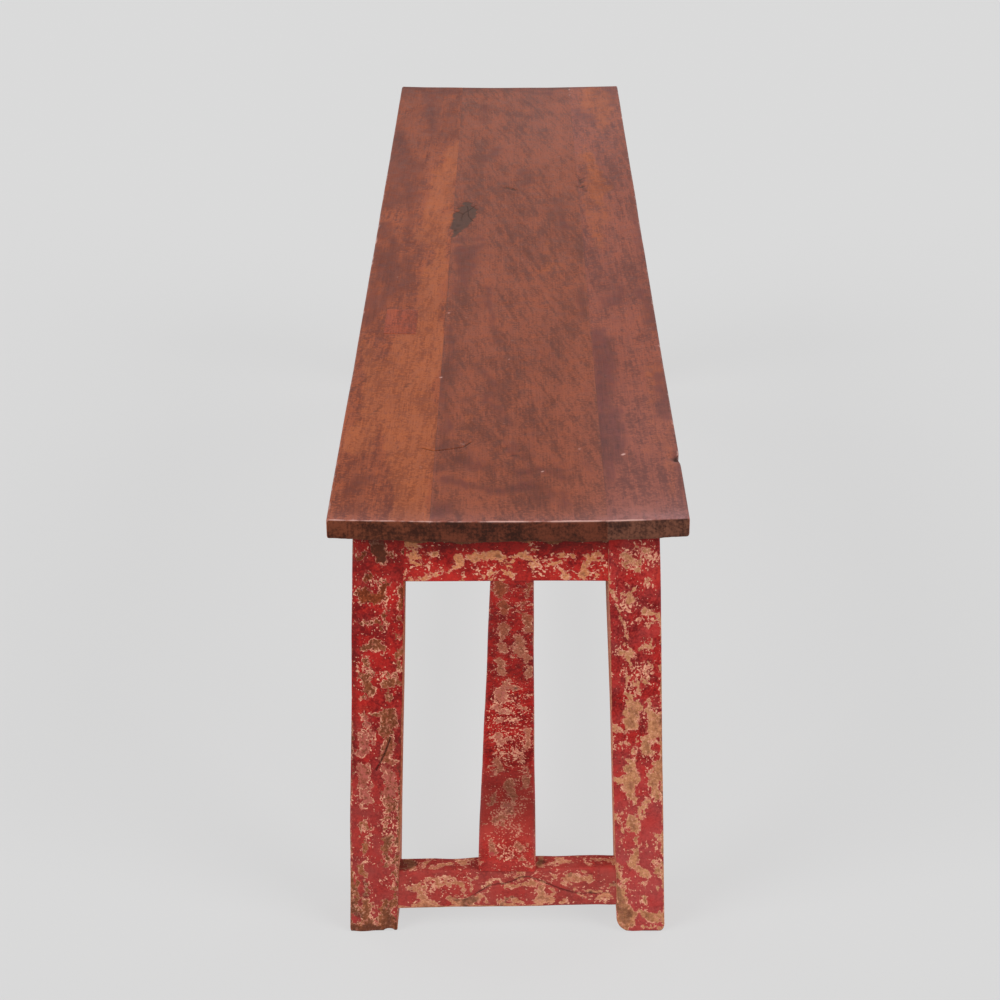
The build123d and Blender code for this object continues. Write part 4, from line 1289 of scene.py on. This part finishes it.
def make_end_apron(name, end):
    """The apron between the legs of one end."""
    node = name + "_apron"
    low, high = extent(node)
    low[X] = extent(name + "_left_leg")[1][X] - HIDDEN_END
    high[X] = extent(name + "_right_leg")[0][X] + HIDDEN_END
    seed = APRON_SEEDS[end]
    apron = Timber(node, low, high, RAIL_ARRIS, SPACING[end])
    apron.undulate(0.25, 50, X, seed)
    below = leg_top - apron.rest[:, Z]
    worn = wear_paint(apron, X, -2.2, seed + 1)
    flecks = 2.0 + wobble(apron.rest, 30, seed + 4)
    # Dirt and painted shade: darker along the top of the apron, under the top's overhang
    grime = 1.3 * np.exp(-(below / 17) ** 2) - 0.35
    layers = {"faded": 0.7 * rise(below, 34, 50)}
    if end == NEAR:
        face = apron.on_side(Y, -1)
        spread = wandering(apron.rest[:, [X, Z]], apron.rest, seed)
        strip = 14.6 + 1.5 * wobble(apron.rest, 17, seed + 6)
        stripped = rise(strip - below, -1.0, 1.0) * face
        placed = placed_wear(spread, NEAR_APRON_BARE, NEAR_APRON_KEPT) + 9 * stripped
        worn = blended(worn, placed, face)
        flecks = blended(flecks, 0.1 + 2.5 * share_of(spread, NEAR_APRON_FLECKED), face)
        # The bare strip under the top is darkened as dirt and painted shade
        grime += 0.9 * stripped
        # Painted shadow of the overhanging top: dark at the upper edge and in a band 21 mm lower
        shadow = 0.5 * np.exp(-(below / 20) ** 2)
        layers["crack"] = np.maximum(shadow, 0.55 * np.exp(-((below - 21) / 9) ** 2))
    layers.update(worn=worn, flecks=flecks, grime=grime)
    shift = (seed * 0.21, 0.0, seed * 0.13)
    finish_painted(apron, X, HONEY_WOOD, shift, layers, rim=0.7, faded_red=APRON_FADED)


# How much lower the near stretcher hangs on its left, for each millimetre across
STRETCHER_SLOPE = {NEAR: 0.021, FAR: 0.0}
STRETCHER_TENON = 38.0
STRETCHER_TOP = 86.0
STRETCHER_BOTTOM = 33.8
# How far the near stretcher stands back from its node's face
STRETCHER_SETBACK = 0.8


def make_end_stretcher(name, end):
    """The low stretcher of one end; the near one hangs lower on its left."""
    node = name + "_stretcher"
    low, high = extent(node)
    near = end == NEAR
    low[X] += STRETCHER_TENON - HIDDEN_END
    high[X] -= STRETCHER_TENON - HIDDEN_END
    low[Z], high[Z] = STRETCHER_BOTTOM, STRETCHER_TOP
    if near:
        low[Y] += STRETCHER_SETBACK
    seed = STRETCHER_SEEDS[end]
    cracks = [(NEAR_STRETCHER_CRACK, 5, Y, -1)] if near else []
    stretcher = Timber(node, low, high, WORN_ARRIS, SPACING[end], cracks=cracks)
    stretcher.wear_arrises(X, WORN_ARRIS, 1.5, 40, seed)
    stretcher.undulate(0.3, 40, X, seed + 1)
    across = stretcher.rest[:, X]
    upper = stretcher.on_side(Z, 1)
    worn = wear_paint(stretcher, X, -2.0, seed + 2)
    flecks = 1.0 + wobble(stretcher.rest, 30, seed + 4)
    ends = np.minimum(across - low[X], high[X] - across)
    # Darker on the upper face and towards the ends at the legs
    grime = 0.35 * upper + 0.3 * np.exp(-ends / 12) - 0.3
    crack = 0.0
    if near:
        face = stretcher.on_side(Y, -1)
        points = stretcher.rest[:, [X, Z]]
        spread = wandering(points, stretcher.rest, seed)
        on_top = wandering(stretcher.rest[:, :2], stretcher.rest, seed)
        edge = STRETCHER_BOTTOM + 0.8 * wobble(stretcher.rest, 14, seed + 8)
        rubbed = fall(points[:, 1] - edge, 2.5, 4.5) * fall(across, 10, 60)
        placed = placed_wear(spread, NEAR_STRETCHER_BARE, NEAR_STRETCHER_KEPT) + 10 * rubbed
        worn = blended(worn, placed, face)
        worn = blended(worn, placed_wear(on_top, STRETCHER_TOP_BARE), upper)
        flecks = blended(flecks, 3.0 * share_of(spread, NEAR_STRETCHER_FLECKED), face)
        grime += (0.35 * rubbed + share_of(spread, NEAR_STRETCHER_DIRTY, 3.0)) * face
        grime += share_of(on_top, STRETCHER_TOP_DIRTY, 4.0) * upper
        split = wandering(points, stretcher.rest, seed + 7, 0.3, 8)
        crack = stretcher.groove(split, NEAR_STRETCHER_CRACK, 2.8, 1.5, Y, -1)
        crack *= 0.74 * rise(across, -66, -30) * (1 - 0.6 * rise(across, 60, 100))
    stretcher.place[:, Z] += STRETCHER_SLOPE[end] * (stretcher.place[:, X] - stretcher.middle[X])
    layers = {"worn": worn, "flecks": flecks, "grime": grime, "crack": crack}
    shift = (seed * 0.17, 0.0, seed * 0.19)
    finish_painted(stretcher, X, TAN_WOOD, shift, layers, faded_red=STRETCHER_FADED)


def make_side_apron(name, side):
    """A long apron under one edge of the top, leaning with the legs."""
    node = name + "_apron"
    low, high = leaning(node, side)
    high[Y] = abs(extent("near_" + name + "_leg")[1][Y]) + HIDDEN_END
    low[Y] = -high[Y]
    seed = SIDE_SEEDS[side]
    apron = Timber(node, low, high, RAIL_ARRIS, SPACING[FAR])
    apron.undulate(0.35, 60, Y, seed)
    layers = {
        "worn": wear_paint(apron, Y, -3.2, seed + 1),
        "flecks": 1.5 + 1.2 * wobble(apron.rest, 40, seed + 4),
        # Darker along the top edge, under the board
        "grime": 0.9 * np.exp(-(leg_top - apron.rest[:, Z]) / 6) - 0.35,
    }
    apron.lean(side)
    finish_painted(apron, Y, RUSSET_WOOD, (0.0, seed * 0.23, seed * 0.07), layers)


# The plank's width and middle at its near and far end, and how low its thinned laps reach
PLANK_WIDTHS = (64.0, 58.0)
PLANK_MIDDLES = (-2.7, 12.0)
LAP_BOTTOM = 84.6


def make_long_stretcher():
    """The flat plank along the middle, a little askew, thinned where it laps the stretchers."""
    node = "long_stretcher"
    low, high = extent(node)
    near_width, far_width = PLANK_WIDTHS
    near_middle, far_middle = PLANK_MIDDLES
    low[X], high[X] = -near_width / 2, near_width / 2
    plank = Timber(node, low, high, WORN_ARRIS, PLANK_SPACING)
    plank.wear_arrises(Y, WORN_ARRIS, 1.8, 50, PLANK_SEED)
    plank.undulate(0.4, 60, Y, PLANK_SEED + 1)
    along = plank.rest[:, Y]
    share = (along - low[Y]) / (high[Y] - low[Y])
    plank.place[:, X] *= 1 + (far_width / near_width - 1) * share
    plank.place[:, X] += near_middle + (far_middle - near_middle) * share
    lapped = np.abs(along) > abs(extent("near_stretcher")[1][Y] - 0.5)
    plank.place[lapped, Z] = np.maximum(plank.place[lapped, Z], LAP_BOTTOM)

    upper = plank.on_side(Z, 1)
    shown = upper * rise(-along, 110, 150)
    points = plank.place[:, [X, Y]]
    spread, other, third = [
        wandering(points, plank.rest, PLANK_SEED + further) for further in (3, 4, 5)
    ]
    placed = placed_wear(spread, PLANK_BARE, PLANK_KEPT)
    worn = blended(wear_paint(plank, Y, -2.4, PLANK_SEED + 2), placed, shown)
    worn -= 4 * plank.on_side(Y, -1)
    knot = soft(points, [PLANK_KNOT]) * upper
    plank.place[:, Z] -= 0.5 * knot
    layers = {
        "worn": worn,
        "flecks": 1.0 + 3.4 * share_of(other, PLANK_FLECKED),
        "primed": 0.6 * share_of(other, PLANK_PINK),
        "grime": 0.5 * shown * share_of(third, PLANK_DIRTY, 4.0) - 0.3,
        # Painted shade on the far part of the plank, under the top, besides the dark knot
        "crack": np.maximum(knot, 0.42 * rise(along, -470, -400)),
        # Faded red towards the near end, partly painted light where the lamps' shadow falls
        "faded": 1.3 * rise(-along, 560, 700) - 0.6 * rise(-along, 755, 770),
        # The bare wood darkens and reddens towards the far end
        "russet": 0.9 * rise(along, -340, -210),
    }
    finish_painted(plank, Y, RUSSET_WOOD, (0.3, 0.9, 0.0), layers, faded_red=PLANK_FADED)


def make_batten(name):
    """A batten under the boards."""
    node = name + "_batten"
    batten = Timber(node, *extent(node), RAIL_ARRIS, SPACING[FAR])
    batten.undulate(0.3, 40, X, BATTEN_SEED)
    batten.finish(batten_wood, "bare_wood")


# How far the ends of pegs, nails and screws are rounded over, and how far they stand proud
SOFTENED = 0.35
PEG_PROUD = 0.8
HEAD_PROUD = 0.1


def driven(node, material, outwards=(0, 0, 0), proud=0.0):
    """Pegs, nails or screws from the model, with softened ends, standing a little proud."""
    rods = bmesh.new()
    rods.from_mesh(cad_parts[node].data)
    bmesh.ops.remove_doubles(rods, verts=rods.verts, dist=TINY * MM)
    bmesh.ops.dissolve_limit(rods, angle_limit=radians(3), verts=rods.verts, edges=rods.edges)
    sharp = [
        edge for edge in rods.edges if edge.is_manifold and edge.calc_face_angle() > radians(60)
    ]
    bmesh.ops.bevel(
        rods, geom=sharp, offset=SOFTENED * MM, segments=2, profile=0.5, affect="EDGES", material=-1
    )
    bmesh.ops.translate(rods, vec=Vector(outwards) * proud * MM, verts=rods.verts)
    mesh = bpy.data.meshes.new("driven_" + node)
    rods.to_mesh(mesh)
    rods.free()
    put_in_place(mesh, node, material)


make_top()
for end_name, end in ENDS.items():
    for side_name, side in SIDES.items():
        make_leg(end_name + "_" + side_name, side, end)
for name, end in ENDS.items():
    make_end_apron(name, end)
    make_end_stretcher(name, end)
for name, side in SIDES.items():
    make_side_apron(name, side)
make_long_stretcher()

batten_wood = plain_wood("batten_wood", X, linear(74, 47, 32), linear(128, 88, 60))
peg_wood = plain_wood("peg_wood", Y, linear(86, 50, 34), linear(142, 92, 62))
iron = rusty_iron("iron")
painted_nails = painted_iron("painted_nails")
for name in ("near", "middle", "far"):
    make_batten(name)
    driven(name + "_batten_screws", iron, (0, 0, -1), HEAD_PROUD)
for name, end in ENDS.items():
    for rail in ("_apron_pegs", "_stretcher_pegs"):
        driven(name + rail, peg_wood, (0, -end, 0), PEG_PROUD)
    driven(name + "_lap_nails", painted_nails, (0, 0, 1), HEAD_PROUD)
for name in SIDES:
    driven(name + "_apron_pegs", peg_wood)
    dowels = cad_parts[name + "_seam_dowels"]
    dowels.data.materials.clear()
    dowels.data.materials.append(peg_wood)


# The floor, light and camera

BACKGROUND = linear(217, 217, 217)
# Half the floor's width in metres, and how much of it shows the lamps' light and shadows
FLOOR_HALF = 14.0
FLOOR_LIT_SHARE = 0.16
SKY_STRENGTH = 0.25
FRONT_STRENGTH = 1.95
BACK_STRENGTH = 0.5
# How much stronger the front left lamp is, and the front right one weaker
LEFT_SHARE = 1.07
# Degrees: how high the lamps stand, how far they are turned from straight ahead, how wide they are
LAMP_HEIGHT = 32.0
LAMP_TURN = 57.0
LAMP_SIZE = 34.0
# Each lamp's turn and strength
LAMPS = {
    "front_left": (-LAMP_TURN, FRONT_STRENGTH * LEFT_SHARE),
    "front_right": (LAMP_TURN, FRONT_STRENGTH / LEFT_SHARE),
    "back_left": (LAMP_TURN - 180, BACK_STRENGTH),
    "back_right": (180 - LAMP_TURN, BACK_STRENGTH),
}
# The camera, in metres, millimetres of lens and sensor, and angles
CAMERA_PLACE = (0.0062, -2.7293, 1.5144)
CAMERA_LENS = 75.6
CAMERA_SENSOR = 36.0
CAMERA_REACH = 60
CAMERA_TILT = radians(26.504)
CAMERA_YAW = radians(-0.424)
CAMERA_ROLL = radians(-0.285)


def seen_directly(tree):
    """1 for rays from the eye, also by way of a shiny or clear surface."""
    path = outputs(put(tree, "ShaderNodeLightPath"))
    seen = path["Is Camera Ray"].maths("MAXIMUM", path["Is Glossy Ray"])
    return seen.maths("MAXIMUM", path["Is Transmission Ray"])


def make_floor():
    """A plain pale floor that shows a faint shadow."""
    floor = bmesh.new()
    bmesh.ops.create_grid(floor, x_segments=1, y_segments=1, size=FLOOR_HALF)
    mesh = bpy.data.meshes.new("floor")
    floor.to_mesh(mesh)
    floor.free()
    material = bpy.data.materials.new("pale_floor")
    tree = cleared(material)
    lit = made(tree, "ShaderNodeBsdfDiffuse", {"Color": BACKGROUND})
    plain = made(tree, "ShaderNodeEmission", {"Color": BACKGROUND, "Strength": 1.0})
    share = seen_directly(tree) * (1 - FLOOR_LIT_SHARE)
    both = made(tree, "ShaderNodeMixShader", {0: share, 1: lit, 2: plain})
    put(tree, "ShaderNodeOutputMaterial", {"Surface": both})
    mesh.materials.append(material)
    piece = bpy.data.objects.new("floor", mesh)
    bpy.context.scene.collection.objects.link(piece)


def make_light():
    """A dim white sky, two soft lamps on either side of the near end and two weaker ones behind."""
    world = bpy.data.worlds.new("studio")
    bpy.context.scene.world = world
    tree = cleared(world)
    sky = made(tree, "ShaderNodeBackground", {"Color": (1, 1, 1, 1), "Strength": SKY_STRENGTH})
    backdrop = made(tree, "ShaderNodeBackground", {"Color": BACKGROUND, "Strength": 1.0})
    both = made(tree, "ShaderNodeMixShader", {0: seen_directly(tree), 1: sky, 2: backdrop})
    put(tree, "ShaderNodeOutputWorld", {"Surface": both})
    for name, (turn, strength) in LAMPS.items():
        lamp = bpy.data.lights.new(name, "SUN")
        lamp.energy = strength
        lamp.angle = radians(LAMP_SIZE)
        holder = bpy.data.objects.new(name, lamp)
        aside = Matrix.Rotation(radians(turn), 3, "Z")
        tilt = Matrix.Rotation(radians(90 - LAMP_HEIGHT), 3, "X")
        holder.matrix_world = (aside @ tilt).to_4x4()
        bpy.context.scene.collection.objects.link(holder)


def make_camera():
    """A standing person's view of the near end, from above."""
    camera = bpy.data.cameras.new("camera")
    camera.lens = CAMERA_LENS
    camera.sensor_width = CAMERA_SENSOR
    camera.clip_end = CAMERA_REACH
    forward = Vector((
        sin(CAMERA_YAW) * cos(CAMERA_TILT), cos(CAMERA_YAW) * cos(CAMERA_TILT), -sin(CAMERA_TILT)
    ))
    level = Vector((cos(CAMERA_YAW), -sin(CAMERA_YAW), 0))
    above = level.cross(forward)
    across = cos(CAMERA_ROLL) * level + sin(CAMERA_ROLL) * above
    upright = cos(CAMERA_ROLL) * above - sin(CAMERA_ROLL) * level
    eye = bpy.data.objects.new("camera", camera)
    eye.matrix_world = Matrix((across, upright, -forward)).transposed().to_4x4()
    eye.location = CAMERA_PLACE
    bpy.context.scene.collection.objects.link(eye)
    bpy.context.scene.camera = eye


make_floor()
make_light()
make_camera()
bpy.context.scene.view_settings.view_transform = "Standard"
